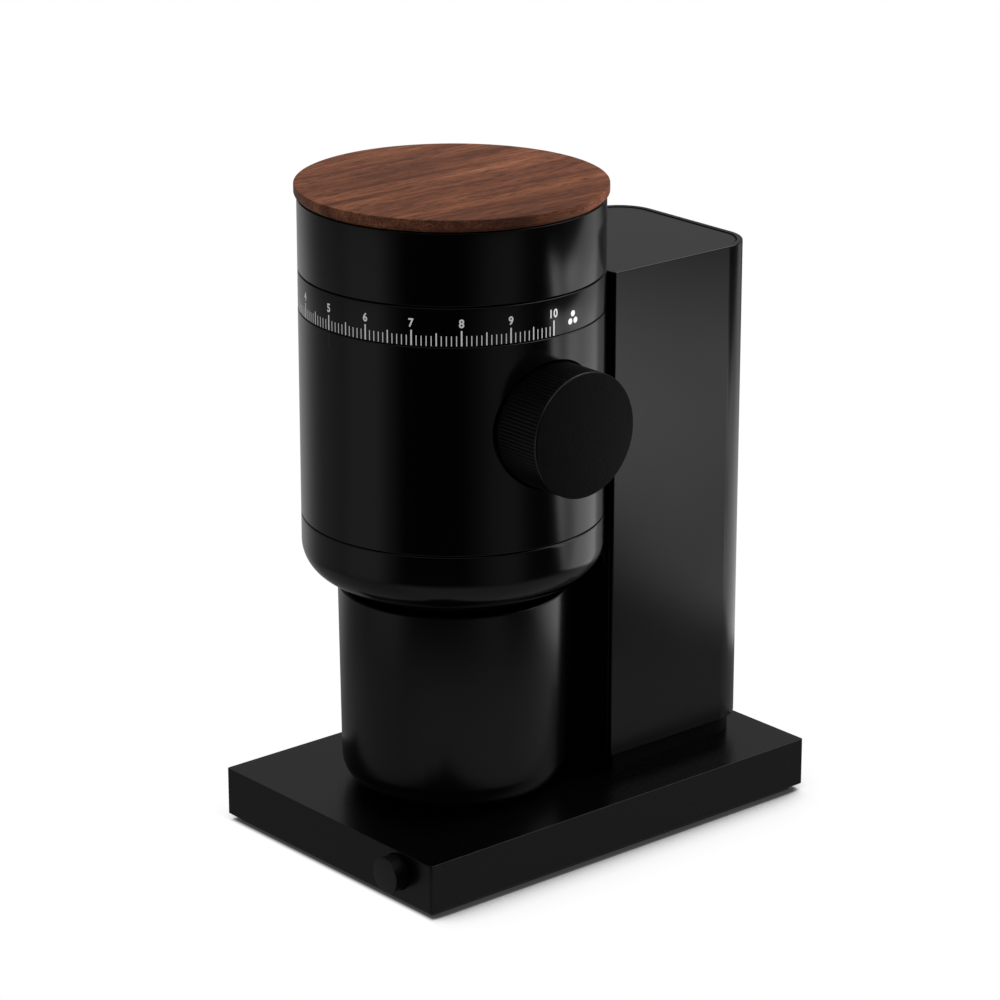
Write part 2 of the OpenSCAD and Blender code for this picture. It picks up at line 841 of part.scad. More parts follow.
module cone_burr() {
  color(steel) on_axis(cone_low) difference() {
    cylinder(r1 = cone_foot_r, r2 = cone_head_r, h = cone_h);
    translate([0, 0, -1]) cylinder(r = shaft_r, h = cone_h + 2);
    for (k = [0:cone_flutes - 1]) rotate(360 * k / cone_flutes)
      translate([cone_head_r - 2.4, -1.6, 6]) rotate([0, -14, 0]) cube([9, 3.2, cone_h]);
  }
}

module burr_nut() {
  color(steel) on_axis(cone_low + cone_h) difference() {
    cylinder(r = 7, h = 5, $fn = 6);
    translate([0, 0, -1]) cylinder(r = shaft_r, h = 7);
  }
}

// Outer burr: its bore follows the cone's slope with a working gap, and its flange lies under the carrier
module ring_burr() {
  low_r = cone_foot_r - cone_slope * (ring_burr_low - cone_low) + burr_play;
  high_r = low_r - cone_slope * ring_burr_h * 0.55;
  color(steel) on_axis(ring_burr_low) difference() {
    union() {
      cylinder(r = ring_burr_r, h = ring_burr_h);
      cylinder(r = burr_flange_r, h = burr_flange_t);
    }
    carrier_screw_places() translate([0, 0, -1]) cylinder(r = screw_r, h = burr_flange_t + 2);
    translate([0, 0, -eps]) cylinder(r1 = low_r, r2 = high_r, h = ring_burr_h + 2 * eps);
    for (a = [0:30:330]) rotate(a) translate([high_r - 2, -1.2, -1]) cube([5.6, 2.4, ring_burr_h + 2]);
  }
}

module carrier_screw_places() {
  for (a = [0:120:240]) rotate(a) translate([burr_screw_pitch_r, 0, 0]) children();
}

// Holds the outer burr and rises or sinks in the housing as the ring turns
module burr_carrier() {
  color(charcoal) on_axis(carrier_low) difference() {
    union() {
      cylinder(r = carrier_r, h = carrier_disc_h);
      tube(carrier_r, carrier_r - carrier_tube, carrier_top - carrier_low);
    }
    translate([0, 0, -1]) cylinder(r = ring_burr_r, h = carrier_disc_h + 2);
    carrier_screw_places() translate([0, 0, -1]) cylinder(r = screw_r, h = carrier_disc_h + 2);
    for (a = pin_angles) rotate(a) translate([carrier_r - 6, 0, pin_z - carrier_low])
      rotate([0, 90, 0]) cylinder(r = pin_r, h = 8);
  }
}

// Three screws through the carrier into the outer burr's flange
module burr_screws() {
  color(steel) on_axis(ring_burr_low) carrier_screw_places() {
    cylinder(r = screw_r, h = burr_flange_t + carrier_disc_h);
    translate([0, 0, burr_flange_t + carrier_disc_h]) cylinder(r = head_r, h = 2);
  }
}

module carrier_pins() {
  color(steel) on_axis(pin_z) for (a = pin_angles) rotate(a) translate([carrier_r - carrier_tube, 0, 0])
    rotate([0, 90, 0]) cylinder(r = pin_r, h = sleeve_in + 2.2 - carrier_r + carrier_tube);
}

// ---------- Chute, drum and dome ----------

// A square block on the chute's axis, reaching `half` to each side
module chute_block(half, h) {
  translate([-half, -chute_out - half, 0]) cube([2 * half, 2 * half, h]);
}

// Square tube from the burr housing's floor down to the collar, with a flange on three sides of its top
module grounds_chute() {
  length = housing_low - collar_low;
  color(black) on_axis(collar_low) difference() {
    union() {
      chute_block(chute_half + chute_wall, length);
      translate([-chute_flange, -chute_out - chute_flange, length - 2])
        cube([2 * chute_flange, chute_flange + chute_half + chute_wall / 2, 2]);
    }
    translate([0, 0, -1]) chute_block(chute_half, length + 2);
  }
}

// Drum wall with the ring's shelf, the gearbox window and the knob's recess
module body_shell() {
  color(black) difference() {
    on_axis(drum_low) union() {
      tube(body_r, drum_in, body_h);
      translate([0, 0, shelf_top - shelf_h - drum_low]) tube(drum_in + eps, sleeve_out + run_gap, shelf_h);
    }
    on_knob(recess_floor) cylinder(r = recess_r, h = 10);
    translate([-window_half, burr_y + 40, box_low - 2]) cube([2 * window_half, 30, box_top - box_low + 2.6]);
  }
}

module lower_dome() {
  flat = body_r - dome_round;
  in_round = dome_round - dome_wall;
  post_low = dome_wall - eps;
  color(black) on_axis(dome_low) difference() {
    union() {
      rotate_extrude() difference() {
        union() {
          square([flat, dome_h]);
          translate([0, dome_round]) square([body_r, dome_h - dome_round]);
          translate([flat, dome_round]) circle(dome_round);
        }
        translate([0, dome_wall]) square([flat, dome_h]);
        translate([0, dome_round]) square([body_r - dome_wall, dome_h]);
        translate([flat, dome_round]) circle(in_round);
        translate([-body_r * 2, -1]) square([body_r * 2, dome_h + dome_round * 2]);
        translate([0, dome_h]) square([body_r + 1, dome_round * 2]);
      }
      translate([0, 0, dome_h - 3]) tube(body_r - dome_wall + 0.2, spigot_in, 3);
      translate([0, 0, dome_h - 0.1]) tube(drum_in - 0.1, spigot_in, 4.1);
      for (sx = [-1, 1], sy = [-1, 1]) translate([sx * dome_screw_x, sy * dome_screw_y, post_low])
        cylinder(r = boss_r - 0.6, h = box_low - dome_low - post_low);
    }
    for (sx = [-1, 1], sy = [-1, 1]) translate([sx * dome_screw_x, sy * dome_screw_y, 0]) {
      translate([0, 0, -1]) cylinder(r = screw_r, h = box_low);
      translate([0, 0, -1]) cylinder(r = head_r, h = 1 + head_h);
    }
    translate([0, 0, -1]) chute_block(chute_half + chute_wall, dome_wall + 2);
    translate([-window_half, 20, dome_h]) cube([2 * window_half, body_r, 10]);
  }
}

module dome_screws() {
  color(steel) translate([0, 0, dome_low + head_h]) dome_screw_places()
    screw_up(screw_r, box_low + box_floor - dome_low - head_h, head_r, head_h);
}

// Dished collar between the dome and the cup, with the chute's outlet in its floor
module chute_collar() {
  color(rubber_black) on_axis(collar_low) difference() {
    cylinder(r = collar_r, h = dome_low - collar_low);
    translate([0, 0, 2]) cylinder(r = collar_r - 2.2, h = 10);
    translate([0, 0, -1]) chute_block(chute_half + chute_wall, 5);
  }
}

// ---------- Setting ring and knob ----------

module ring_washer() {
  color(nylon) on_axis(shelf_top) tube(drum_in - 0.6, 53, drum_top - shelf_top + seam - 0.1);
}

module adjust_ring() {
  color(black) on_axis(ring_low) tube(band_out, ring_in, ring_h);
}

// Sleeve inside the ring, with a groove for the carrier pins and crown teeth below
module ring_gear() {
  pitch = 2 * PI * crown_pitch_r / crown_teeth;
  half = pitch / 4 - 0.175;
  low = half - mesh_add * tan(pressure);
  high = half + (crown_root - crown_z) * tan(pressure);
  color(nylon) on_axis(0) {
    difference() {
      union() {
        translate([0, 0, crown_root]) tube(sleeve_out, sleeve_in, ring_top - 1.4 - crown_root);
        translate([0, 0, ring_low + 1]) tube(ring_in, sleeve_out - eps, ring_h - 2.4);
      }
      translate([0, 0, pin_z - slot_half - 0.1]) tube(sleeve_in + 2.8, sleeve_in - 1, 2 * slot_half + 0.2);
    }
    for (k = [0:crown_teeth - 1]) rotate(360 * (k + 0.5) / crown_teeth)
      translate([crown_in + 0.1, 0, crown_z]) rotate([90, 0, 90]) linear_extrude(crown_out - crown_in - 0.1)
        polygon([[-low, -mesh_add], [low, -mesh_add], [high, crown_root - crown_z + eps],
          [-high, crown_root - crown_z + eps]]);
  }
}

// Pocket let into the drum wall behind the knob
module knob_recess() {
  color(rubber_black) intersection() {
    difference() {
      on_knob(recess_floor - recess_plate) cylinder(r = recess_r + recess_wall, h = 12);
      on_knob(recess_floor) cylinder(r = recess_r, h = 12);
      on_knob(recess_floor - recess_plate - 1) cylinder(r = bush_r, h = 12);
    }
    on_axis(0) cylinder(r = drum_in - 0.02, h = tower_top);
  }
}

module knob_bush() {
  color(brass) on_knob(recess_floor - recess_plate) tube(bush_r, knob_shaft_r + run_gap, 8.4);
}

module adjust_knob() {
  len = knob_face - knob_back;
  hub_low = 6.6;
  color(black) on_knob(knob_back) difference() {
    cylinder(r = knob_r, h = len);
    difference() {
      translate([0, 0, -1]) cylinder(r = knob_r - knob_wall, h = len - 3);
      translate([0, 0, hub_low]) cylinder(r = knob_hub_r, h = len);
    }
    translate([0, 0, -1]) cylinder(r = knob_shaft_r, h = knob_shaft_end - knob_back + 1);
  }
}

module knob_shaft() {
  start = crown_in - 0.9;
  color(steel) on_knob(start) cylinder(r = knob_shaft_r, h = knob_shaft_end - start);
}

module knob_pinion() {
  pitch = 2 * PI * knob_pitch_r / knob_teeth;
  color(brass) on_knob(crown_in) difference() {
    linear_extrude(crown_out - crown_in)
      gear_outline(knob_teeth, knob_pitch_r, mesh_add, mesh_ded, pitch / 4 - 0.175);
    translate([0, 0, -1]) cylinder(r = knob_shaft_r, h = 8);
  }
}

// ---------- Hopper and lid ----------

module hopper_band() {
  color(black) on_axis(band_low) tube(band_out, band_in, band_h);
}

// Funnel that leads the beans down to the burrs, with a foot that stands on the burr housing
module hopper_funnel() {
  low = throat_low + throat_h;
  slope_h = funnel_t * 1.5;
  color(charcoal) on_axis(0) rotate_extrude() {
    polygon([
      [throat_r, throat_low], [throat_r + funnel_t, throat_low], [throat_r + funnel_t, low - 0.8],
      [band_in, cone_top - slope_h], [band_in, cone_top], [throat_r, low]
    ]);
    translate([housing_in + 0.6, housing_top + 0.4]) square([1.8, 5.4]);
  }
}

module lid_disc() {
  color(walnut) on_axis(lid_low) rotate_extrude() polygon([
    [0, 0], [lid_r - lid_bevel, 0], [lid_r, lid_bevel], [lid_r, lid_h - 0.4], [lid_r - 0.4, lid_h], [0, lid_h]
  ]);
}

// Ring under the lid that drops into the hopper, grooved for its gasket
module lid_plug() {
  low = lid_low - plug_h;
  color(black) on_axis(low) difference() {
    cylinder(r = plug_r, h = plug_h);
    translate([0, 0, -1]) cylinder(r = plug_in, h = plug_h - 1);
    translate([0, 0, 1.5]) tube(plug_r + 1, plug_r - 1.2, 3);
  }
}

module lid_gasket() {
  color(silicone) on_axis(lid_low - plug_h + 1.6) tube(gasket_r, plug_r - 1.2, 2.8);
}

// ---------- Catch cup ----------

// Tapered cup with a rounded foot and a plain rim
module catch_cup() {
  in_round = cup_round - cup_wall;
  taper = (cup_rim_r - cup_foot_r) / cup_h;
  foot_r = cup_foot_r + taper * cup_round;
  color(black) on_axis(base_top) rotate_extrude() difference() {
    union() {
      square([foot_r - cup_round, cup_round]);
      intersection() {
        translate([foot_r - cup_round, cup_round]) circle(cup_round);
        square([foot_r, cup_round]);
      }
      polygon([[0, cup_round], [foot_r, cup_round], [cup_rim_r, cup_h], [0, cup_h]]);
    }
    translate([0, cup_wall]) square([foot_r - cup_round, cup_round]);
    intersection() {
      translate([foot_r - cup_round, cup_round]) circle(in_round);
      square([foot_r, cup_round + eps]);
    }
    polygon([[0, cup_round], [foot_r - cup_wall, cup_round], [cup_rim_r - cup_wall, cup_h + 1], [0, cup_h + 1]]);
  }
}

base_housing();
base_bottom_plate();
foot_mat();
base_screws();
start_button();
button_spring();
button_switch();
control_board();
tower_plinth();
plinth_screws();
tower_shell();
tower_front_panel();
tower_top_cover();
power_inlet();
motor_frame();
motor_can();
motor_end_cap();
motor_armature();
motor_shaft();
motor_pinion();
motor_screws();
gearbox_case();
gearbox_cover();
gearbox_screws();
compound_gear();
compound_axle();
idler_gear();
idler_axle();
burr_gear();
burr_shaft();
lower_bearing();
upper_bearing();
burr_housing();
cone_burr();
burr_nut();
grounds_sweeper();
burr_carrier();
ring_burr();
burr_screws();
carrier_pins();
grounds_chute();
body_shell();
lower_dome();
dome_screws();
chute_collar();
ring_washer();
adjust_ring();
ring_gear();
knob_recess();
knob_bush();
adjust_knob();
knob_shaft();
knob_pinion();
hopper_band();
hopper_funnel();
lid_disc();
lid_plug();
lid_gasket();
catch_cup();
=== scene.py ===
"""The looks of a countertop burr grinder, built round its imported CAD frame. Lengths are in metres."""

import json
import math

import bmesh
import bpy
from mathutils import Matrix, Vector


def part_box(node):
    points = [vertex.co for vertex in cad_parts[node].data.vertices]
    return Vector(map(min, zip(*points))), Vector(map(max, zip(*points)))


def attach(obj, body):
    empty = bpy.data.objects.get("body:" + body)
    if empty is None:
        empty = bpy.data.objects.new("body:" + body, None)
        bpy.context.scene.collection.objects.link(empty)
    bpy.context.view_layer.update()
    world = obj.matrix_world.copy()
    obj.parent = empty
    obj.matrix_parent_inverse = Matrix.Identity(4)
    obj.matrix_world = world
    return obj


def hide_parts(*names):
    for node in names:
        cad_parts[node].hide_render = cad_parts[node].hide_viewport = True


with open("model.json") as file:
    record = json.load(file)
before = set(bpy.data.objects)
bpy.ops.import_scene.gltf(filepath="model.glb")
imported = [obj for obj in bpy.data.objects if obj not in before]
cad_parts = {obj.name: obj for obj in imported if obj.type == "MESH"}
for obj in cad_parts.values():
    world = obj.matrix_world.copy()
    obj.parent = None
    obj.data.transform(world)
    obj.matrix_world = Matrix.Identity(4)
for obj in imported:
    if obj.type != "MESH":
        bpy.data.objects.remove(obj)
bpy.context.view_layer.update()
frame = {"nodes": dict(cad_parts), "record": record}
MM = 0.001
ORIGIN = Vector((0, 0))
ROUND, CUP_ROUND = 256, 224


# ---------- Shader helpers ----------

def new_material(name):
    """A material with a fresh principled shader, and that material's nodes and links."""
    mat = bpy.data.materials.new(name)
    mat.use_nodes = True
    tree = mat.node_tree
    tree.nodes.clear()
    out = tree.nodes.new("ShaderNodeOutputMaterial")
    shader = tree.nodes.new("ShaderNodeBsdfPrincipled")
    tree.links.new(shader.outputs[0], out.inputs[0])
    return mat, tree, shader


def place(tree, scale=(1, 1, 1), turn=(0, 0, 0)):
    """The piece's own coordinates, scaled and turned."""
    coords = tree.nodes.new("ShaderNodeTexCoord")
    mapping = tree.nodes.new("ShaderNodeMapping")
    mapping.inputs["Scale"].default_value = scale
    mapping.inputs["Rotation"].default_value = turn
    tree.links.new(coords.outputs["Object"], mapping.inputs["Vector"])
    return mapping.outputs[0]


def noise(tree, vector, scale, detail=2.0, rough=0.5, warp=0.0):
    node = tree.nodes.new("ShaderNodeTexNoise")
    node.inputs["Scale"].default_value = scale
    node.inputs["Detail"].default_value = detail
    node.inputs["Roughness"].default_value = rough
    node.inputs["Distortion"].default_value = warp
    tree.links.new(vector, node.inputs["Vector"])
    return node.outputs["Fac"]


def ramp(tree, factor, stops):
    """A colour ramp; stops are (position, grey or colour)."""
    node = tree.nodes.new("ShaderNodeValToRGB")
    elements = node.color_ramp.elements
    while len(elements) < len(stops):
        elements.new(0.5)
    for element, (position, colour) in zip(elements, stops):
        element.position = position
        element.color = (*colour, 1) if isinstance(colour, tuple) else (colour, colour, colour, 1)
    tree.links.new(factor, node.inputs[0])
    return node.outputs[0]


def spread(tree, factor, low, high, start=0.0, end=1.0, smooth=False):
    """Maps start..end to low..high, held at the ends."""
    node = tree.nodes.new("ShaderNodeMapRange")
    if smooth:
        node.interpolation_type = "SMOOTHSTEP"
    for key, value in (("From Min", start), ("From Max", end), ("To Min", low), ("To Max", high)):
        node.inputs[key].default_value = value
    tree.links.new(factor, node.inputs["Value"])
    return node.outputs[0]


def maths(tree, kind, a, b=0.0):
    node = tree.nodes.new("ShaderNodeMath")
    node.operation = kind
    for socket, value in zip(node.inputs, (a, b)):
        if isinstance(value, (int, float)):
            socket.default_value = value
        else:
            tree.links.new(value, socket)
    return node.outputs[0]


def product(tree, *factors):
    """The product of two or more values."""
    result = factors[0]
    for factor in factors[1:]:
        result = maths(tree, "MULTIPLY", result, factor)
    return result


def length_of(tree, x, y):
    """The length of the flat vector (x, y)."""
    return maths(tree, "SQRT", maths(tree, "ADD", product(tree, x, x), product(tree, y, y)))


def axes(tree, output="Object"):
    """X, Y and Z of the coordinates as separate values."""
    coords = tree.nodes.new("ShaderNodeTexCoord")
    split = tree.nodes.new("ShaderNodeSeparateXYZ")
    tree.links.new(coords.outputs[output], split.inputs[0])
    return split.outputs[0], split.outputs[1], split.outputs[2]


def mix_colour(tree, factor, a, b):
    node = tree.nodes.new("ShaderNodeMix")
    node.data_type = "RGBA"
    for key, value in ((0, factor), (6, a), (7, b)):
        if isinstance(value, (int, float)):
            node.inputs[key].default_value = value
        elif isinstance(value, tuple):
            node.inputs[key].default_value = (*value, 1)
        else:
            tree.links.new(value, node.inputs[key])
    return node.outputs[2]


def bump(tree, shader, height, strength, depth):
    node = tree.nodes.new("ShaderNodeBump")
    node.inputs["Strength"].default_value = strength
    node.inputs["Distance"].default_value = depth
    tree.links.new(height, node.inputs["Height"])
    tree.links.new(node.outputs[0], shader.inputs["Normal"])


# ---------- Materials ----------

def paint(name, colour, rough, grain=1900, relief=0.1, level=0.5):
    """Powder coat or moulded plastic: fine grain, with slow drifts of tone and gloss."""
    mat, tree, shader = new_material(name)
    vector = place(tree)
    drift = noise(tree, vector, 22, 3)
    fine = noise(tree, vector, grain, 2, 0.6)
    lighter = tuple(c * 1.35 for c in colour)
    tree.links.new(mix_colour(tree, drift, colour, lighter), shader.inputs["Base Color"])
    slow = spread(tree, drift, -0.03, 0.03)
    quick = spread(tree, fine, rough - 0.03, rough + 0.03)
    tree.links.new(maths(tree, "ADD", slow, quick), shader.inputs["Roughness"])
    shader.inputs["Specular IOR Level"].default_value = level
    bump(tree, shader, fine, relief, 0.00004)
    return mat


def metal(name, colour, rough, stretch=(300, 300, 5000)):
    """Turned or rolled metal with fine lines."""
    mat, tree, shader = new_material(name)
    lines = noise(tree, place(tree, stretch), 1, 4, 0.6)
    cloud = noise(tree, place(tree), 60, 3)
    darker = tuple(c * 0.72 for c in colour)
    tree.links.new(mix_colour(tree, cloud, darker, colour), shader.inputs["Base Color"])
    tree.links.new(spread(tree, lines, rough - 0.08, rough + 0.1), shader.inputs["Roughness"])
    shader.inputs["Metallic"].default_value = 1.0
    bump(tree, shader, lines, 0.12, 0.00003)
    return mat


def walnut(name):
    """Oiled walnut with its grain along Y: broad bands, streaks, fibres and short dark pores."""
    mat, tree, shader = new_material(name)
    broad = noise(tree, place(tree, (30, 2.6, 30), (0, 0, 0.10)), 1, 3, 0.5, 1.6)
    streak = noise(tree, place(tree, (150, 6, 150), (0, 0, 0.07)), 1, 5, 0.65, 1.0)
    fibre = noise(tree, place(tree, (1100, 34, 1100), (0, 0, 0.05)), 1, 4, 0.75)
    pores = noise(tree, place(tree, (2100, 150, 2100), (0, 0, 0.05)), 1, 2, 0.5)
    blend = maths(tree, "ADD", product(tree, broad, 0.55), product(tree, streak, 0.45))
    tone = ramp(tree, blend, [
        (0.37, (0.062, 0.018, 0.008)), (0.45, (0.122, 0.038, 0.016)),
        (0.53, (0.190, 0.064, 0.028)), (0.63, (0.285, 0.106, 0.050))])
    line_colour, pore_colour = (0.058, 0.018, 0.009), (0.026, 0.008, 0.004)
    lined = mix_colour(tree, spread(tree, fibre, 0.80, 0.0, 0.34, 0.58), tone, line_colour)
    dotted = mix_colour(tree, spread(tree, pores, 0.85, 0.0, 0.36, 0.47), lined, pore_colour)
    tree.links.new(dotted, shader.inputs["Base Color"])
    tree.links.new(spread(tree, fibre, 0.58, 0.46), shader.inputs["Roughness"])
    shader.inputs["Specular IOR Level"].default_value = 0.22
    bump(tree, shader, fibre, 0.25, 0.00008)
    return mat


def sand(name, colour, rough, scale, depth, level):
    """A coarse sand texture, as moulded into the knob's face."""
    mat, tree, shader = new_material(name)
    vector = place(tree)
    grains = noise(tree, vector, scale, 3, 0.75)
    darker, lighter = tuple(c * 0.5 for c in colour), tuple(c * 1.6 for c in colour)
    tree.links.new(mix_colour(tree, grains, darker, lighter), shader.inputs["Base Color"])
    tree.links.new(spread(tree, grains, rough - 0.08, rough + 0.08), shader.inputs["Roughness"])
    shader.inputs["Specular IOR Level"].default_value = level
    bump(tree, shader, grains, 0.6, depth)
    return mat


def laminated(name):
    """Wound rotor: thin steel sheets crossed by copper wire."""
    mat, tree, shader = new_material(name)
    sheets = noise(tree, place(tree, (2, 2, 2500)), 1, 2)
    wire = noise(tree, place(tree, (900, 900, 40)), 1, 3)
    steel, copper = (0.30, 0.28, 0.27), (0.60, 0.27, 0.13)
    wound = mix_colour(tree, spread(tree, wire, 0, 1, 0.4, 0.6), steel, copper)
    tree.links.new(wound, shader.inputs["Base Color"])
    tree.links.new(spread(tree, sheets, 0.3, 0.55), shader.inputs["Roughness"])
    shader.inputs["Metallic"].default_value = 0.85
    bump(tree, shader, sheets, 0.3, 0.00008)
    return mat


def circuit(name):
    """Solder-masked board with pale traces."""
    mat, tree, shader = new_material(name)
    cells = tree.nodes.new("ShaderNodeTexBrick")
    cells.inputs["Scale"].default_value = 140
    cells.inputs["Mortar Size"].default_value = 0.012
    cells.inputs["Color1"].default_value = (0.012, 0.080, 0.040, 1)
    cells.inputs["Color2"].default_value = (0.016, 0.100, 0.050, 1)
    cells.inputs["Mortar"].default_value = (0.06, 0.20, 0.10, 1)
    tree.links.new(place(tree), cells.inputs["Vector"])
    tree.links.new(cells.outputs["Color"], shader.inputs["Base Color"])
    tree.links.new(spread(tree, noise(tree, place(tree), 300), 0.25, 0.4), shader.inputs["Roughness"])
    return mat


BLACK = (0.0004, 0.0004, 0.00045)

PAINTS = {
    "base_paint": (BLACK, 0.28, dict(level=0.42)),
    "drum_paint": (BLACK, 0.17, {}),
    "tower_paint": ((0.0006, 0.0006, 0.00065), 0.22, dict(grain=1400, relief=0.06)),
    "panel_black": ((0.0008, 0.0008, 0.0008), 0.42, dict(grain=1200)),
    "ring_paint": (BLACK, 0.19, {}),
    "cup_paint": (BLACK, 0.24, dict(grain=1500)),
    "knob_side": ((0.0014, 0.0014, 0.0015), 0.30, dict(grain=2600, level=1.0)),
    "button_black": ((0.0008, 0.0008, 0.00085), 0.28, dict(level=0.60)),
    "black_plastic": ((0.0012, 0.0012, 0.0012), 0.6, dict(grain=900, relief=0.2, level=0.12)),
    "inner_plastic": ((0.045, 0.045, 0.048), 0.5, dict(grain=800, relief=0.2)),
    "soft_black": ((0.0012, 0.0012, 0.0012), 0.65, dict(grain=1100, relief=0.25, level=0.25)),
    "foot_rubber": ((0.012, 0.012, 0.012), 0.75, dict(grain=700, relief=0.3)),
    "gasket_silicone": ((0.16, 0.16, 0.165), 0.55, dict(grain=600, relief=0.15)),
    "nylon_gear": ((0.74, 0.71, 0.62), 0.45, dict(grain=500, relief=0.08)),
    "print_white": ((0.74, 0.74, 0.74), 0.6, dict(grain=2500)),
    "print_grey": ((0.034, 0.034, 0.034), 0.6, dict(grain=2500)),
}

METALS = {
    "dark_steel": ((0.13, 0.13, 0.14), 0.42, {}),
    "screw_steel": ((0.52, 0.52, 0.54), 0.3, {}),
    "bright_steel": ((0.62, 0.63, 0.65), 0.26, {}),
    "burr_steel": ((0.46, 0.47, 0.49), 0.3, dict(stretch=(2500, 2500, 400))),
    "cast_alloy": ((0.42, 0.43, 0.45), 0.5, dict(stretch=(900, 900, 900))),
    "brass_gear": ((0.72, 0.52, 0.22), 0.3, {}),
}


def make_materials():
    """One material for each slot of the record, and the extra ones of the printed and moulded details."""
    made = {name: paint(name, colour, rough, **more) for name, (colour, rough, more) in PAINTS.items()}
    made |= {name: metal(name, colour, rough, **more) for name, (colour, rough, more) in METALS.items()}
    made["knob_black"] = sand("knob_black", (0.0022, 0.0022, 0.0023), 0.60, 1500, 0.0003, 0.13)
    made["walnut"] = walnut("walnut")
    made["copper_winding"] = laminated("copper_winding")
    made["circuit_board"] = circuit("circuit_board")
    return made


materials = make_materials()


def dress_frame():
    """Gives every CAD node the material of its slot."""
    for part in frame["record"]["subparts"]:
        mesh = frame["nodes"][part["node"]].data
        mesh.materials.clear()
        mesh.materials.append(materials[part["material_slot"]])


# ---------- Mesh helpers ----------

def finish_mesh(obj, slot, sharp):
    """Smooth shading with sharp corners kept, outward normals, and the slot's material."""
    mesh = obj.data
    solid = bmesh.new()
    solid.from_mesh(mesh)
    bmesh.ops.recalc_face_normals(solid, faces=solid.faces)
    solid.to_mesh(mesh)
    solid.free()
    mesh.materials.clear()
    mesh.materials.append(materials[slot])
    mesh.shade_smooth()
    mesh.set_sharp_from_angle(angle=math.radians(sharp))


def new_object(name, verts, faces):
    mesh = bpy.data.meshes.new(name)
    mesh.from_pydata(verts, [], faces)
    mesh.update()
    obj = bpy.data.objects.new(name, mesh)
    bpy.context.scene.collection.objects.link(obj)
    return obj


def arc_corner(before, corner, after, radius, steps):
    """Points of the arc that rounds one corner of an outline."""
    p = Vector(corner)
    u, v = (Vector(before) - p), (Vector(after) - p)
    reach = min(u.length, v.length) * 0.49
    u.normalize()
    v.normalize()
    half = u.angle(v) / 2
    if radius <= 0 or half > math.radians(89):
        return [tuple(p)]
    radius = min(radius, reach * math.tan(half))
    centre = p + (u + v).normalized() * radius / math.sin(half)
    a, b = p + u * radius / math.tan(half) - centre, p + v * radius / math.tan(half) - centre
    sweep = a.angle_signed(b)
    return [tuple(centre + Matrix.Rotation(-sweep * k / steps, 2) @ a) for k in range(steps + 1)]


def rounded(corners, steps=4):
    """A closed outline with rounded corners; corners are (x, y, radius)."""
    flat = [c[:2] for c in corners]
    points = []
    for k, (x, y, radius) in enumerate(corners):
        points += arc_corner(flat[k - 1], (x, y), flat[(k + 1) % len(flat)], radius, steps)
    return points


def lathe(name, profile, centre, segments, shape=None):
    """A closed solid: the outline of (radius, height) turned about the upright line through centre.

    shape(row, step), where given, is how far a point is drawn in towards the line.
    """
    verts, rows, faces = [], [], []
    for n, (radius, height) in enumerate(profile):
        if radius < 1e-6:
            rows.append([len(verts)] * segments)
            verts.append((centre.x, centre.y, height))
            continue
        rows.append(range(len(verts), len(verts) + segments))
        for k in range(segments):
            turn = 2 * math.pi * k / segments
            r = radius - (shape(n, k) if shape else 0.0)
            verts.append((centre.x + r * math.cos(turn), centre.y + r * math.sin(turn), height))
    for row, after in zip(rows, rows[1:] + rows[:1]):
        for k in range(segments):
            j = (k + 1) % segments
            face = list(dict.fromkeys((row[k], row[j], after[j], after[k])))
            if len(face) > 2:
                faces.append(face)
    return new_object(name, verts, faces)


def block(name, low, high, radius=0.0):
    """A box with rounded edges."""
    solid = bmesh.new()
    bmesh.ops.create_cube(solid, size=1.0)
    size, middle = Vector(high) - Vector(low), (Vector(high) + Vector(low)) / 2
    bmesh.ops.scale(solid, vec=size, verts=solid.verts)
    bmesh.ops.translate(solid, vec=middle, verts=solid.verts)
    if radius:
        bmesh.ops.bevel(solid, geom=solid.edges[:], offset=radius, segments=2, profile=0.5,
                        affect="EDGES")
    mesh = bpy.data.meshes.new(name)
    solid.to_mesh(mesh)
    solid.free()
    obj = bpy.data.objects.new(name, mesh)
    bpy.context.scene.collection.objects.link(obj)
    return obj


def rod(name, start, end, radius, segments):
    """A closed cylinder between two points."""
    start, end = Vector(start), Vector(end)
    length = (end - start).length
    obj = lathe(name, [(0, 0), (radius, 0), (radius, length), (0, length)], ORIGIN, segments)
    turn = Vector((0, 0, 1)).rotation_difference(end - start).to_matrix().to_4x4()
    obj.data.transform(Matrix.Translation(start) @ turn)
    return obj


def apply_all(obj):
    """Bakes the modifiers of a built piece into its mesh."""
    evaluated = obj.evaluated_get(bpy.context.evaluated_depsgraph_get())
    mesh = bpy.data.meshes.new_from_object(evaluated)
    old = obj.data
    obj.modifiers.clear()
    obj.data = mesh
    bpy.data.meshes.remove(old)


def boolean(obj, others, kind="DIFFERENCE"):
    """Cuts the other solids out of obj, or joins them to it, and removes them."""
    for other in others:
        step = obj.modifiers.new("cut", "BOOLEAN")
        step.operation = kind
        step.solver = "EXACT"
        step.object = other
        apply_all(obj)
        bpy.data.objects.remove(other)


def true_round(obj, centre, radius):
    """Sets exact radial normals on the faces of an upright cylinder of this radius."""
    mesh = obj.data
    normals = [Vector(n.vector) for n in mesh.corner_normals]
    for face in mesh.polygons:
        middle = face.center.xy - centre
        upright = abs(face.normal.z) < 0.05
        if not upright or abs(middle.length - radius) > 0.0004 or face.normal.xy.dot(middle) <= 0:
            continue
        for loop in face.loop_indices:
            out = mesh.vertices[mesh.loops[loop].vertex_index].co.xy - centre
            normals[loop] = Vector((out.x, out.y, 0)).normalized()
    mesh.normals_split_custom_set([tuple(n) for n in normals])


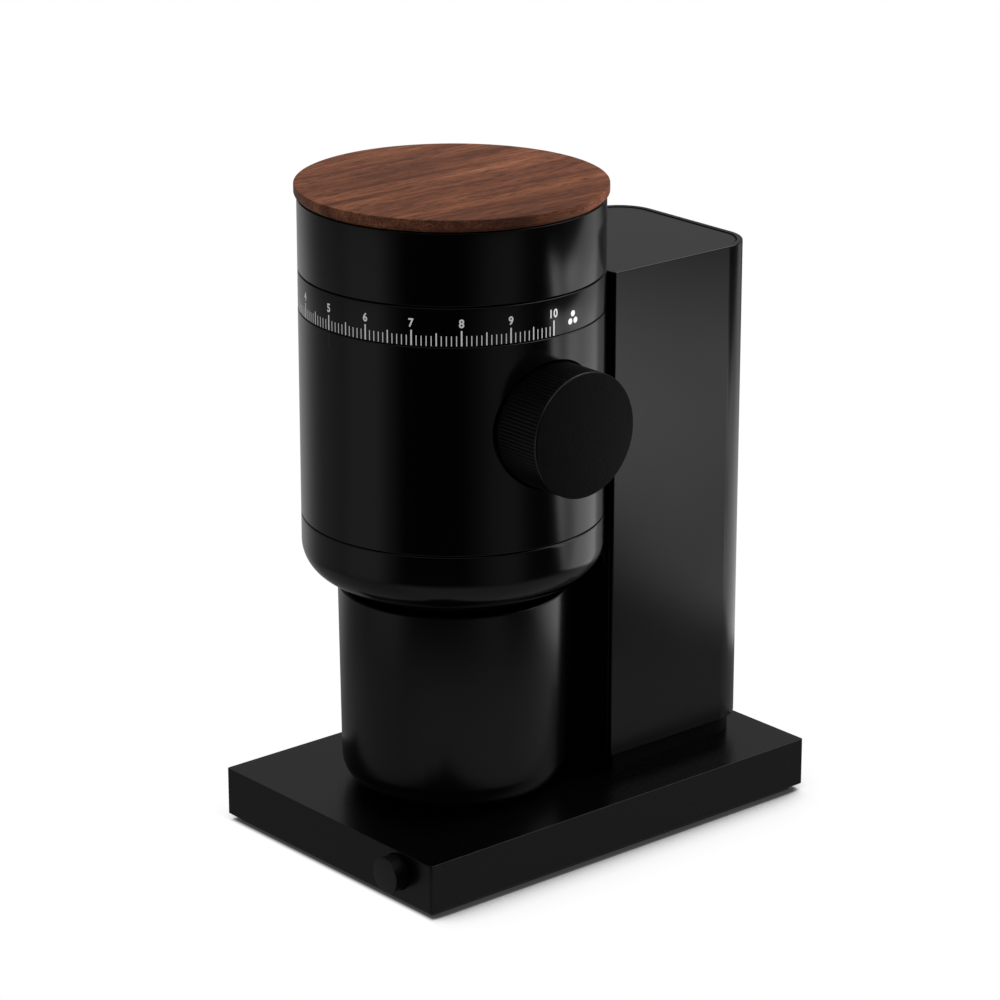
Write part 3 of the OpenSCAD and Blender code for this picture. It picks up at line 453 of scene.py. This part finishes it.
def soften(name, width, steps):
    """Rounds the edges of a CAD node that stays in view."""
    obj = frame["nodes"][name]
    weld = obj.modifiers.new("weld", "WELD")
    weld.merge_threshold = 1e-6
    flat = obj.modifiers.new("flat", "DECIMATE")
    flat.decimate_type = "DISSOLVE"
    flat.angle_limit = math.radians(0.3)
    edge = obj.modifiers.new("edge", "BEVEL")
    edge.width = width
    edge.segments = steps
    edge.limit_method = "ANGLE"
    edge.angle_limit = math.radians(38)
    edge.harden_normals = True
    edge.use_clamp_overlap = True


def round_box(name):
    """Centre, radius, lower and upper height of a CAD node that stands on the drum's axis."""
    low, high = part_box(name)
    return (low.xy + high.xy) / 2, (high.x - low.x) / 2, low.z, high.z


def adopt(obj, slot, body, *nodes, sharp=32):
    """Finishes a piece, lets it ride its body and stand for its CAD nodes."""
    finish_mesh(obj, slot, sharp)
    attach(obj, body)
    if nodes:
        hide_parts(*nodes)


# ---------- Drum, dome, band and ring ----------

AXIS, RING_R, RING_LOW, RING_TOP = round_box("adjust_ring")


def recess_cutter():
    """The round pocket behind the knob, as a solid to cut away."""
    low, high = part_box("adjust_knob")
    centre = (low + high) / 2
    radius = (high.z - low.z) / 2 + 0.9 * MM
    floor = low.x - 0.3 * MM
    return rod("recess", (floor, centre.y, centre.z), (floor + 12 * MM, centre.y, centre.z), radius, 160)


def build_drum():
    low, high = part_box("body_shell")
    outer = AXIS.y - low.y
    wall, shelf_in, shelf = 2.8 * MM, 51.55 * MM, 3.6 * MM
    inner = outer - wall
    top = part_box("ring_washer")[0].z
    profile = rounded([
        (outer, low.z, 0.35 * MM), (outer, high.z, 0.35 * MM), (inner, high.z, 0.2 * MM), (inner, top, 0),
        (shelf_in, top, 0.2 * MM), (shelf_in, top - shelf, 0.2 * MM), (inner, top - shelf, 0),
        (inner, low.z, 0)])
    drum = lathe("drum_skin", profile, AXIS, ROUND)
    box_low, box_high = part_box("gearbox_case"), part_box("gearbox_cover")
    half = box_high[1].x + 0.8 * MM
    window = block("window", (-half, AXIS.y + 40 * MM, box_low[0].z - 4 * MM),
                   (half, AXIS.y + 70 * MM, box_high[1].z + 1.6 * MM))
    boolean(drum, [recess_cutter(), window])
    adopt(drum, "drum_paint", "frame", "body_shell")
    true_round(drum, AXIS, outer)
    return outer, high.z


def quarter(hub, radius, steps):
    """Points of a quarter circle, from straight below the hub to straight out from it."""
    angles = [math.pi / 2 * k / steps for k in range(steps + 1)]
    return [(hub.x + radius * math.sin(a), hub.y - radius * math.cos(a)) for a in angles]


def build_dome():
    centre, outer, low, high = round_box("lower_dome")
    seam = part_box("body_shell")[0].z - 0.4 * MM
    bend, wall = 14 * MM, 2.8 * MM
    inner, spigot_out, spigot_in = outer - wall, outer - wall - 0.1 * MM, outer - wall - 2.6 * MM
    hub = Vector((outer - bend, low + bend))
    curve_out = quarter(hub, bend, 24)
    curve_in = quarter(hub, bend - wall, 16)[::-1]
    lip = rounded([(outer, seam - 1.5 * MM, 0), (outer, seam, 0.35 * MM), (spigot_out, seam, 0)])
    spigot = [(spigot_out, high), (spigot_in, high), (spigot_in, seam - 3 * MM), (inner, seam - 3 * MM)]
    profile = [(0, low)] + curve_out + lip + spigot + curve_in + [(0, low + wall)]
    dome = lathe("dome_skin", profile, centre, ROUND)
    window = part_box("gearbox_cover")[1].x + 0.8 * MM
    gap = block("gap", (-window, centre.y + 20 * MM, seam), (window, centre.y + 70 * MM, high + 2 * MM))
    boolean(dome, [chute_cutter(low), *screw_cutters(low), gap])
    adopt(dome, "drum_paint", "frame", "lower_dome")


def screw_cutters(dome_low):
    """Seats and bores of the four screws in the dome's floor, as solids to cut away."""
    low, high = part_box("dome_screws")
    head, bore = 3 * MM, 1.52 * MM
    seat, fit = low.z + 1.7 * MM, 0.02 * MM
    start, end = dome_low - MM, dome_low + 5 * MM
    cutters = []
    for x in (low.x + head, high.x - head):
        for y in (low.y + head, high.y - head):
            cutters.append(rod("seat", (x, y, start), (x, y, seat), head + fit, 32))
            cutters.append(rod("bore", (x, y, start), (x, y, end), bore, 24))
    return cutters


def chute_cutter(dome_low):
    """The square hole that the chute fills in the dome's floor, as a solid to cut away."""
    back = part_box("grounds_chute")[1].y
    half = 6.9 * MM
    return block("chute_hole", (AXIS.x - half, back - 2 * half, dome_low - MM),
                 (AXIS.x + half, back, dome_low + 5 * MM))


def build_ring():
    wall = RING_R - 55.4 * MM
    profile = rounded([
        (RING_R, RING_LOW, 0.3 * MM), (RING_R, RING_TOP, 0.3 * MM),
        (RING_R - wall, RING_TOP, 0.2 * MM), (RING_R - wall, RING_LOW, 0.2 * MM)])
    adopt(lathe("ring_skin", profile, AXIS, ROUND), "ring_paint", "ring", "adjust_ring")


def build_band():
    centre, outer, low, high = round_box("hopper_band")
    inner = outer - 2.6 * MM
    profile = rounded([
        (outer, low, 0.4 * MM), (outer, high, 0.35 * MM), (inner, high, 0.3 * MM), (inner, low, 0.3 * MM)])
    adopt(lathe("band_skin", profile, centre, ROUND), "drum_paint", "hopper", "hopper_band")


def build_lid():
    centre, outer, low, high = round_box("lid_disc")
    profile = rounded([
        (0, low, 0), (outer - 1.5 * MM, low, 0.8 * MM), (outer, low + 1.5 * MM, 1.0 * MM),
        (outer, high, 0.45 * MM), (0, high, 0)], 5)
    adopt(lathe("walnut_lid", profile, centre, ROUND), "walnut", "lid", "lid_disc")


def build_cup():
    centre, rim, low, high = round_box("catch_cup")
    wall, bend = 1.6 * MM, 12 * MM
    foot = rim - 1.03 * MM
    profile = rounded([
        (0, low, 0), (foot, low, bend), (rim, high, 0.75 * MM), (rim - wall, high, 0.75 * MM),
        (foot - wall, low + wall, bend - wall), (0, low + wall, 0)], 12)
    adopt(lathe("cup_skin", profile, centre, CUP_ROUND), "cup_paint", "cup", "catch_cup")


# ---------- Printed scale ----------

PRINT_SINK, PRINT_RISE = 0.12 * MM, 0.025 * MM
UNIT_TURN = math.radians(18.24)
SIDE_NUMBER, FRONT_NUMBER = 10, 5
FIRST_NUMBER, LAST_NUMBER = 1, 10
COARSE_TURN = math.radians(9.9)
WHOLE_TICK = (0.60 * MM, 6.25 * MM)
HALF_TICK = (0.48 * MM, 5.35 * MM)
SMALL_TICK = (0.34 * MM, 4.2 * MM)
NUMBER_TALL, NUMBER_STAND, NUMBER_SQUEEZE = 3.4 * MM, 7.35 * MM, 0.9


def wrap(points, turn, radius):
    """Bends (sideways, up, outwards) points round the drum's axis at the angle turn."""
    placed = []
    for along, up, out in points:
        angle = turn + along / radius
        r = radius + out
        placed.append((AXIS.x + r * math.cos(angle), AXIS.y + r * math.sin(angle), up))
    return placed


def bar_points(width, low, high):
    half = width / 2
    return [(x, z, out) for out in (-PRINT_SINK, PRINT_RISE) for x, z in
            ((-half, low), (half, low), (half, high), (-half, high))]


BAR_FACES = [(0, 1, 2, 3), (4, 7, 6, 5), (0, 4, 5, 1), (1, 5, 6, 2), (2, 6, 7, 3), (3, 7, 4, 0)]


def number_turn(value):
    """The angle at which a number of the scale stands."""
    return UNIT_TURN * (value - SIDE_NUMBER)


def build_ticks():
    verts, faces = [], []
    foot = RING_LOW + 0.3 * MM
    for step in range(FIRST_NUMBER * 10, LAST_NUMBER * 10 + 1):
        kind = WHOLE_TICK if step % 10 == 0 else HALF_TICK if step % 5 == 0 else SMALL_TICK
        width, height = kind
        points = bar_points(width, foot, RING_LOW + height)
        faces += [tuple(i + len(verts) for i in face) for face in BAR_FACES]
        verts += wrap(points, number_turn(step / 10), RING_R)
    adopt(new_object("scale_ticks", verts, faces), "print_white", "ring")


def glyph_mesh(text):
    """A numeral as a closed thin mesh, one unit tall, centred, standing on zero."""
    curve = bpy.data.curves.new("glyph", "FONT")
    curve.body = text
    curve.align_x = "CENTER"
    curve.extrude = 0.5
    curve.offset = 0.024
    curve.space_character = 1.12
    curve.resolution_u = 6
    obj = bpy.data.objects.new("glyph", curve)
    bpy.context.scene.collection.objects.link(obj)
    mesh = bpy.data.meshes.new_from_object(obj.evaluated_get(bpy.context.evaluated_depsgraph_get()))
    bpy.data.objects.remove(obj)
    bpy.data.curves.remove(curve)
    tall = [v.co.y for v in mesh.vertices]
    wide = [v.co.x for v in mesh.vertices]
    size, middle = max(tall) - min(tall), (max(wide) + min(wide)) / 2
    foot = min(tall)
    points = [((v.co.x - middle) / size, (v.co.y - foot) / size, v.co.z + 0.5) for v in mesh.vertices]
    polygons = [tuple(p.vertices) for p in mesh.polygons]
    bpy.data.meshes.remove(mesh)
    return points, polygons


def build_numbers():
    tall, stand = NUMBER_TALL, RING_LOW + NUMBER_STAND
    thick = PRINT_SINK + PRINT_RISE
    verts, faces = [], []
    for value in range(FIRST_NUMBER, LAST_NUMBER + 1):
        points, polygons = glyph_mesh(str(value))
        solid = [(x * tall * NUMBER_SQUEEZE, stand + y * tall, z * thick - PRINT_SINK)
                 for x, y, z in points]
        faces += [tuple(i + len(verts) for i in polygon) for polygon in polygons]
        verts += wrap(solid, number_turn(value), RING_R)
    numbers = new_object("scale_numbers", verts, faces)
    solid = bmesh.new()
    solid.from_mesh(numbers.data)
    bmesh.ops.remove_doubles(solid, verts=solid.verts, dist=1e-7)
    solid.to_mesh(numbers.data)
    solid.free()
    adopt(numbers, "print_white", "ring")


def build_coarse_mark():
    """Three dots beyond the last number."""
    radius, gap, rise, sides = 1.2 * MM, 3.1 * MM, 2.883 * MM, 24
    stand = RING_LOW + 4.1 * MM
    turns = [2 * math.pi * k / sides for k in range(sides)]
    verts, faces = [], []
    for across, up in ((-gap / 2, 0), (gap / 2, 0), (0, rise)):
        first = len(verts)
        points = [(across + radius * math.cos(turn), stand + up + radius * math.sin(turn), out)
                  for out in (-PRINT_SINK, PRINT_RISE) for turn in turns]
        verts += wrap(points, COARSE_TURN, RING_R)
        faces.append(tuple(range(first, first + sides)))
        faces.append(tuple(range(first + 2 * sides - 1, first + sides - 1, -1)))
        for k in range(sides):
            j = (k + 1) % sides
            faces.append((first + k, first + sides + k, first + sides + j, first + j))
    adopt(new_object("coarse_mark", verts, faces), "print_white", "ring")


def build_index_lines(drum_r, drum_top):
    """Two thin lines on the drum under the ring: one at the front, one above the knob."""
    verts, faces = [], []
    width, low, high = 0.22 * MM, drum_top - 6.6 * MM, drum_top - 0.6 * MM
    for turn in (number_turn(FRONT_NUMBER), number_turn(SIDE_NUMBER - 0.08)):
        points = bar_points(width, low, high)
        faces += [tuple(i + len(verts) for i in face) for face in BAR_FACES]
        verts += wrap(points, turn, drum_r)
    adopt(new_object("index_lines", verts, faces), "print_grey", "frame")


# ---------- Knob ----------

KNURLS, PER_KNURL = 104, 6
KNURL_DEPTH = 0.5 * MM


def knob_profile():
    """(radius, distance from the back) of the knob, and which rows carry the knurl."""
    low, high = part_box("adjust_knob")
    radius, length = (high.z - low.z) / 2, high.x - low.x
    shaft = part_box("knob_shaft")
    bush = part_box("knob_bush")
    bore, bore_end = (shaft[1].z - shaft[0].z) / 2, shaft[1].x - low.x
    hub, hub_low = 7 * MM, bush[1].x - low.x + 0.7 * MM
    hollow, roof = radius - 3.2 * MM, length - 4 * MM
    bevel, neck = 0.35 * MM, radius - 0.9 * MM
    face = [(0, length), (radius - bevel - 0.25 * MM, length), (radius - bevel, length - 0.08 * MM),
            (radius - 0.1 * MM, length - bevel), (radius, length - bevel - 0.15 * MM),
            (radius, length - 1.15 * MM)]
    knurled = [(radius, length - 1.5 * MM), (radius, 2.6 * MM)]
    back = [(radius - KNURL_DEPTH, 2.3 * MM), (neck, 2.2 * MM), (neck, 0.15 * MM), (radius - 1.1 * MM, 0),
            (hollow, 0), (hollow, roof), (hub, roof), (hub, hub_low), (bore, hub_low), (bore, bore_end),
            (0, bore_end)]
    return face + knurled + back, range(len(face), len(face) + len(knurled)), low, high


def build_knob():
    profile, knurled, low, high = knob_profile()

    def groove(row, k):
        if row not in knurled:
            return 0.0
        return KNURL_DEPTH * (0.5 - 0.5 * math.cos(2 * math.pi * (k % PER_KNURL) / PER_KNURL)) ** 1.4

    knob = lathe("knob_skin", profile, ORIGIN, KNURLS * PER_KNURL, groove)
    turn = Matrix.Rotation(math.pi / 2, 4, "Y")
    knob.data.transform(Matrix.Translation((low.x, (low.y + high.y) / 2, (low.z + high.z) / 2)) @ turn)
    adopt(knob, "knob_black", "knob", "adjust_knob", sharp=40)
    knob.data.materials.append(materials["knob_side"])
    face_depth = 0.3 * MM
    for face in knob.data.polygons:
        if face.center.x < high.x - face_depth:
            face.material_index = 1


# ---------- Base, button and tower ----------

def build_button():
    low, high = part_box("start_button")
    housing_low, housing_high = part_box("base_housing")
    radius, flange, stem = 7.1 * MM, (high.x - low.x) / 2, 3 * MM
    wall_in, roof = housing_low.y + 3 * MM, housing_high.z - 3.4 * MM
    start, depth = wall_in + 0.3 * MM - low.y, high.y - low.y
    end = start + 1.5 * MM
    profile = rounded([
        (0, 0, 0), (radius, 0, 0.3 * MM), (radius, start, 0), (flange, start, 0.1 * MM),
        (flange, end, 0.1 * MM), (stem, end, 0), (stem, depth, 0.3 * MM), (0, depth, 0)], 6)
    button = lathe("button_skin", profile, ORIGIN, 128)
    turn = Matrix.Rotation(-math.pi / 2, 4, "X")
    button.data.transform(Matrix.Translation(((low.x + high.x) / 2, low.y, high.z - radius)) @ turn)
    flat = block("flat", (low.x - MM, low.y + start - 0.01 * MM, roof),
                 (high.x + MM, low.y + start + 1.6 * MM, high.z + 5 * MM))
    boolean(button, [flat])
    adopt(button, "button_black", "button", "start_button")
    button.data.materials.append(materials["black_plastic"])
    face_depth = 0.2 * MM
    for face in button.data.polygons:
        if face.center.y > low.y + face_depth:
            face.material_index = 1


def build_inlet():
    """Appliance inlet: flanged shell with a pocket, and three flat pins in metal."""
    low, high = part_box("power_inlet")
    lip_x, lip_z, wall = 3 * MM, 2 * MM, 1.6 * MM
    inset_x, inset_z = lip_x + 0.1 * MM, lip_z + 0.1 * MM
    shell = block("inlet_skin", (low.x + inset_x, low.y, low.z + inset_z),
                  (high.x - inset_x, high.y, high.z - inset_z), 0.5 * MM)
    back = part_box("tower_shell")[1].y - 4.6 * MM
    flange = block("flange", (low.x, back, low.z), (high.x, back + 2.1 * MM, high.z), 0.3 * MM)
    boolean(shell, [flange], "UNION")
    pocket = block("pocket", (low.x + lip_x + wall, low.y + 5 * MM, low.z + lip_z + wall),
                   (high.x - lip_x - wall, high.y + 2 * MM, high.z - lip_z - wall), 0.9 * MM)
    boolean(shell, [pocket])
    adopt(shell, "black_plastic", "frame", "power_inlet")
    build_pins(low, high)


def build_pins(low, high):
    """The earth pin in the middle and a live pin on each side, joined to one piece."""
    middle, tall, edge = (low.z + high.z) / 2, 4 * MM, 0.3 * MM
    start, end = low.y + 4.6 * MM, high.y - 3 * MM
    pins = block("inlet_pins", (-MM, start, middle - tall), (MM, end, middle), edge)
    for side in (-7 * MM, 7 * MM):
        pin = block("pin", (side - MM, start, middle), (side + MM, end, middle + tall), edge)
        boolean(pins, [pin], "UNION")
    adopt(pins, "screw_steel", "frame")


SOFT_EDGES = {
    "base_housing": (0.4 * MM, 3),
    "tower_shell": (0.5 * MM, 3),
    "tower_top_cover": (0.35 * MM, 2),
    "tower_front_panel": (0.4 * MM, 2),
    "tower_plinth": (0.4 * MM, 2),
    "foot_mat": (0.5 * MM, 2),
    "base_bottom_plate": (0.2 * MM, 2),
    "chute_collar": (0.4 * MM, 2),
    "lid_plug": (0.3 * MM, 2),
}


def soften_frame():
    """Small rounded edges on the flat CAD nodes that stay in view."""
    for name, (width, steps) in SOFT_EDGES.items():
        soften(name, width, steps)


# ---------- Stage, light and camera ----------

# Painted reflection: how bright the floor looks to glossy rays, by direction round the drum.
POLAR_REFLECTION_PAINT = [
    (0.000, 0.235), (0.030, 0.170), (0.055, 0.115), (0.080, 0.085), (0.150, 0.080), (0.175, 0.115),
    (0.235, 0.135), (0.262, 0.060), (0.295, 0.004), (0.405, 0.004), (0.440, 0.030), (0.470, 0.065),
    (0.510, 0.078), (0.545, 0.020), (0.575, 0.004), (0.640, 0.010), (0.780, 0.020), (0.840, 0.040),
    (0.885, 0.200), (1.000, 0.235)]
ROOM_GLOW = [
    (0.00, 0.15), (0.10, 0.10), (0.25, 0.06), (0.40, 0.02), (0.55, 0.04), (0.68, 0.16), (0.80, 0.26),
    (0.90, 0.30), (1.00, 0.15)]
# Painted contact shadow: the floor's emitted brightness to the camera, set by ambient occlusion through
# this ramp.
PAINTED_CONTACT_SHADOW = [
    (0.00, 0.035), (0.38, 0.06), (0.47, 0.20), (0.52, 0.45), (0.59, 0.70), (0.69, 0.885), (0.75, 0.955),
    (0.84, 1.0)]
# Painted reflection of a bright card: the floor emits it to glossy rays, and no card is in the scene.
PAINTED_CARD_NEAR, PAINTED_CARD_BEND_FROM, PAINTED_CARD_BEND = 0.217, 0.242, 0.54
PAINTED_CARD_LEVEL = 1.12
PATCH = Vector((0.33, 0.62, 0.71)).normalized()


def polar(tree, x, y):
    """The direction round the drum's axis, from 0 to 1 as it turns from -X round through -Y, +X and +Y."""
    angle = maths(tree, "ARCTAN2", y, x)
    return maths(tree, "ADD", maths(tree, "DIVIDE", angle, 2 * math.pi), 0.5)


def reflector_card(tree, x, y):
    """Painted reflection of a bright card behind on the right, emitted by the floor to glossy rays: its
    near edge bends away, and it fades at both ends.
    """
    beyond = maths(tree, "MAXIMUM", maths(tree, "SUBTRACT", x, PAINTED_CARD_BEND_FROM), 0.0)
    bend = product(tree, beyond, PAINTED_CARD_BEND)
    inside = maths(tree, "SUBTRACT", maths(tree, "SUBTRACT", y, PAINTED_CARD_NEAR), bend)
    lit = spread(tree, inside, 0.0, PAINTED_CARD_LEVEL, -0.016, 0.018, True)
    left = spread(tree, x, 0.08, 1.0, -0.34, 0.04)
    right = maths(tree, "MAXIMUM", spread(tree, x, 1.0, 0.04, 0.46, 0.66, True),
                  spread(tree, y, 1.0, 0.0, 0.58, 0.68))
    return product(tree, product(tree, lit, product(tree, left, right)),
                   product(tree, card_dip(tree, x, y), card_gain(tree, x, y)))


def card_dip(tree, x, y):
    """Painted shade in the reflection: the card dims along a band that runs away to the right."""
    across = maths(tree, "SUBTRACT", y, product(tree, x, 0.8))
    dip = maths(tree, "MAXIMUM", spread(tree, across, 1.0, 0.52, -0.01, 0.085),
                spread(tree, across, 0.52, 1.0, 0.14, 0.22))
    return maths(tree, "MAXIMUM", dip, spread(tree, x, 1.0, 0.0, 0.21, 0.27))


def card_gain(tree, x, y):
    """Painted highlight in the reflection: the card is brighter on the right, up to where it falls off
    with distance.
    """
    boost = product(tree, spread(tree, x, 0.0, 0.6, 0.29, 0.40),
                    spread(tree, length_of(tree, x, y), 1.0, 0.0, 0.80, 0.93, True))
    return product(tree, maths(tree, "ADD", boost, 1.0), spread(tree, y, 1.0, 0.62, 0.45, 0.95))


def floor_glow(tree):
    """Painted reflection, emitted by the floor to glossy rays only: a dim surround, grey near the base,
    and the card on the right.
    """
    x, y, _ = axes(tree)
    ahead = maths(tree, "SUBTRACT", y, AXIS.y)
    far = length_of(tree, x, ahead)
    around = product(tree, ramp(tree, polar(tree, x, ahead), POLAR_REFLECTION_PAINT), 2.0,
                     spread(tree, far, 0.5, 1.0, 0.18, 0.42, True),
                     spread(tree, far, 0.0, 1.0, 0.13, 0.175, True))
    # Painted reflection: a grey strip close to the base, seen in the base's lower faces.
    near = product(tree, spread(tree, x, 0.17, 0.23, 0.0, 0.10, True),
                   spread(tree, far, 1.0, 0.0, 0.22, 0.36, True))
    return maths(tree, "MAXIMUM", maths(tree, "MAXIMUM", around, near), reflector_card(tree, x, y))


def clear_of_base(tree):
    """0 under the base's front edge and 1 ahead of it, where the painted contact shadow is dropped and the
    floor stays white.
    """
    front = maths(tree, "SUBTRACT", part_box("base_housing")[0].y, axes(tree)[1])
    return spread(tree, front, 0.0, 1.0, -0.003, 0.0005, True)


def by_ray(tree, out, seen, mirrored, felt):
    """Sends one shader to the camera, another to glossy rays and a third to all other rays."""
    path = tree.nodes.new("ShaderNodeLightPath")
    dim, whole = (tree.nodes.new("ShaderNodeMixShader") for _ in range(2))
    tree.links.new(path.outputs["Is Glossy Ray"], dim.inputs[0])
    tree.links.new(felt.outputs[0], dim.inputs[1])
    tree.links.new(mirrored.outputs[0], dim.inputs[2])
    tree.links.new(path.outputs["Is Camera Ray"], whole.inputs[0])
    tree.links.new(dim.outputs[0], whole.inputs[1])
    tree.links.new(seen.outputs[0], whole.inputs[2])
    tree.links.new(whole.outputs[0], out.inputs[0])


def floor_material():
    """Pale floor, all emission: white to the camera with a painted soft contact shadow, dim to everything
    else: a painted reflection to glossy rays and an even glow to the rest.
    """
    mat = bpy.data.materials.new("pale_floor")
    mat.use_nodes = True
    tree = mat.node_tree
    tree.nodes.clear()
    out = tree.nodes.new("ShaderNodeOutputMaterial")
    contact = tree.nodes.new("ShaderNodeAmbientOcclusion")
    contact.samples = 16
    contact.inputs["Distance"].default_value = 0.06
    # Painted contact shadow: the occlusion ramp sets the emitted white, left out ahead of the base.
    shade = maths(tree, "MAXIMUM", ramp(tree, contact.outputs["AO"], PAINTED_CONTACT_SHADOW), clear_of_base(tree))
    seen, felt, mirrored = (tree.nodes.new("ShaderNodeEmission") for _ in range(3))
    tree.links.new(shade, seen.inputs["Color"])
    # Painted bounce light: the floor glows evenly to diffuse rays, though it is no lamp.
    felt.inputs["Color"].default_value = (0.38, 0.38, 0.38, 1)
    tree.links.new(floor_glow(tree), mirrored.inputs["Strength"])
    by_ray(tree, out, seen, mirrored, felt)
    mat.cycles.emission_sampling = "NONE"
    return mat


def build_floor():
    reach, drop = 4.0, 0.0001
    corners = [(-reach, -reach, 0), (reach, -reach, 0), (reach, reach, 0), (-reach, reach, 0)]
    floor = new_object("floor", corners, [(0, 1, 2, 3)])
    floor.location.z = -drop
    floor.data.materials.append(floor_material())


def build_world():
    """White to the camera; to reflections a dim room that brightens behind and overhead."""
    world = bpy.data.worlds.new("room")
    bpy.context.scene.world = world
    world.use_nodes = True
    tree = world.node_tree
    tree.nodes.clear()
    out = tree.nodes.new("ShaderNodeOutputWorld")
    x, y, z = axes(tree, "Generated")
    around = ramp(tree, polar(tree, x, y), ROOM_GLOW)
    above = spread(tree, z, 0.0, 0.55, 0.45, 0.95, True)
    towards = maths(tree, "ADD", product(tree, x, PATCH.x),
                    maths(tree, "ADD", product(tree, y, PATCH.y), product(tree, z, PATCH.z)))
    above = maths(tree, "ADD", above, spread(tree, towards, 0.0, 2.6, 0.86, 0.97, True))
    seen, felt, room = (tree.nodes.new("ShaderNodeBackground") for _ in range(3))
    seen.inputs["Color"].default_value = (1.0, 1.0, 1.0, 1)
    felt.inputs["Color"].default_value = (0.50, 0.50, 0.50, 1)
    tree.links.new(maths(tree, "ADD", around, above), room.inputs["Strength"])
    by_ray(tree, out, seen, room, felt)
    world.cycles.sampling_method = "NONE"


def soft_light(name, position, aim, size, power):
    light = bpy.data.lights.new(name, "AREA")
    light.shape = "RECTANGLE"
    light.size, light.size_y = size
    light.energy = power
    obj = bpy.data.objects.new(name, light)
    bpy.context.scene.collection.objects.link(obj)
    obj.location = position
    obj.rotation_euler = (Vector(aim) - Vector(position)).to_track_quat("-Z", "Y").to_euler()
    obj.visible_camera = False
    obj.visible_glossy = False


def build_lights():
    middle = (0.0, AXIS.y, 0.2)
    soft_light("overhead", (-0.25, 0.15, 1.5), middle, (1.4, 1.4), 15)
    soft_light("back_right", (0.32, 1.25, 0.42), middle, (0.5, 0.5), 40)


CAMERA_AT = (1.12238, -0.96908, 0.63472)
CAMERA_AIM = (0.09673, -0.09227, 0.17761)
CAMERA_LENS = 140.48


def build_camera():
    camera = bpy.data.cameras.new("camera")
    camera.lens = CAMERA_LENS
    camera.sensor_width = 36
    camera.clip_start, camera.clip_end = 0.01, 30
    obj = bpy.data.objects.new("camera", camera)
    bpy.context.scene.collection.objects.link(obj)
    obj.location = CAMERA_AT
    obj.rotation_euler = (Vector(CAMERA_AIM) - Vector(CAMERA_AT)).to_track_quat("-Z", "Y").to_euler()
    bpy.context.scene.camera = obj
    bpy.context.scene.view_settings.view_transform = "Standard"
    bpy.context.scene.view_settings.look = "None"


# ---------- Everything together ----------

def build_all():
    dress_frame()
    soften_frame()
    drum_r, drum_top = build_drum()
    build_dome()
    build_ring()
    build_band()
    build_lid()
    build_cup()
    build_ticks()
    build_numbers()
    build_coarse_mark()
    build_index_lines(drum_r, drum_top)
    build_knob()
    build_button()
    build_inlet()
    build_floor()
    build_world()
    build_lights()
    build_camera()


build_all()
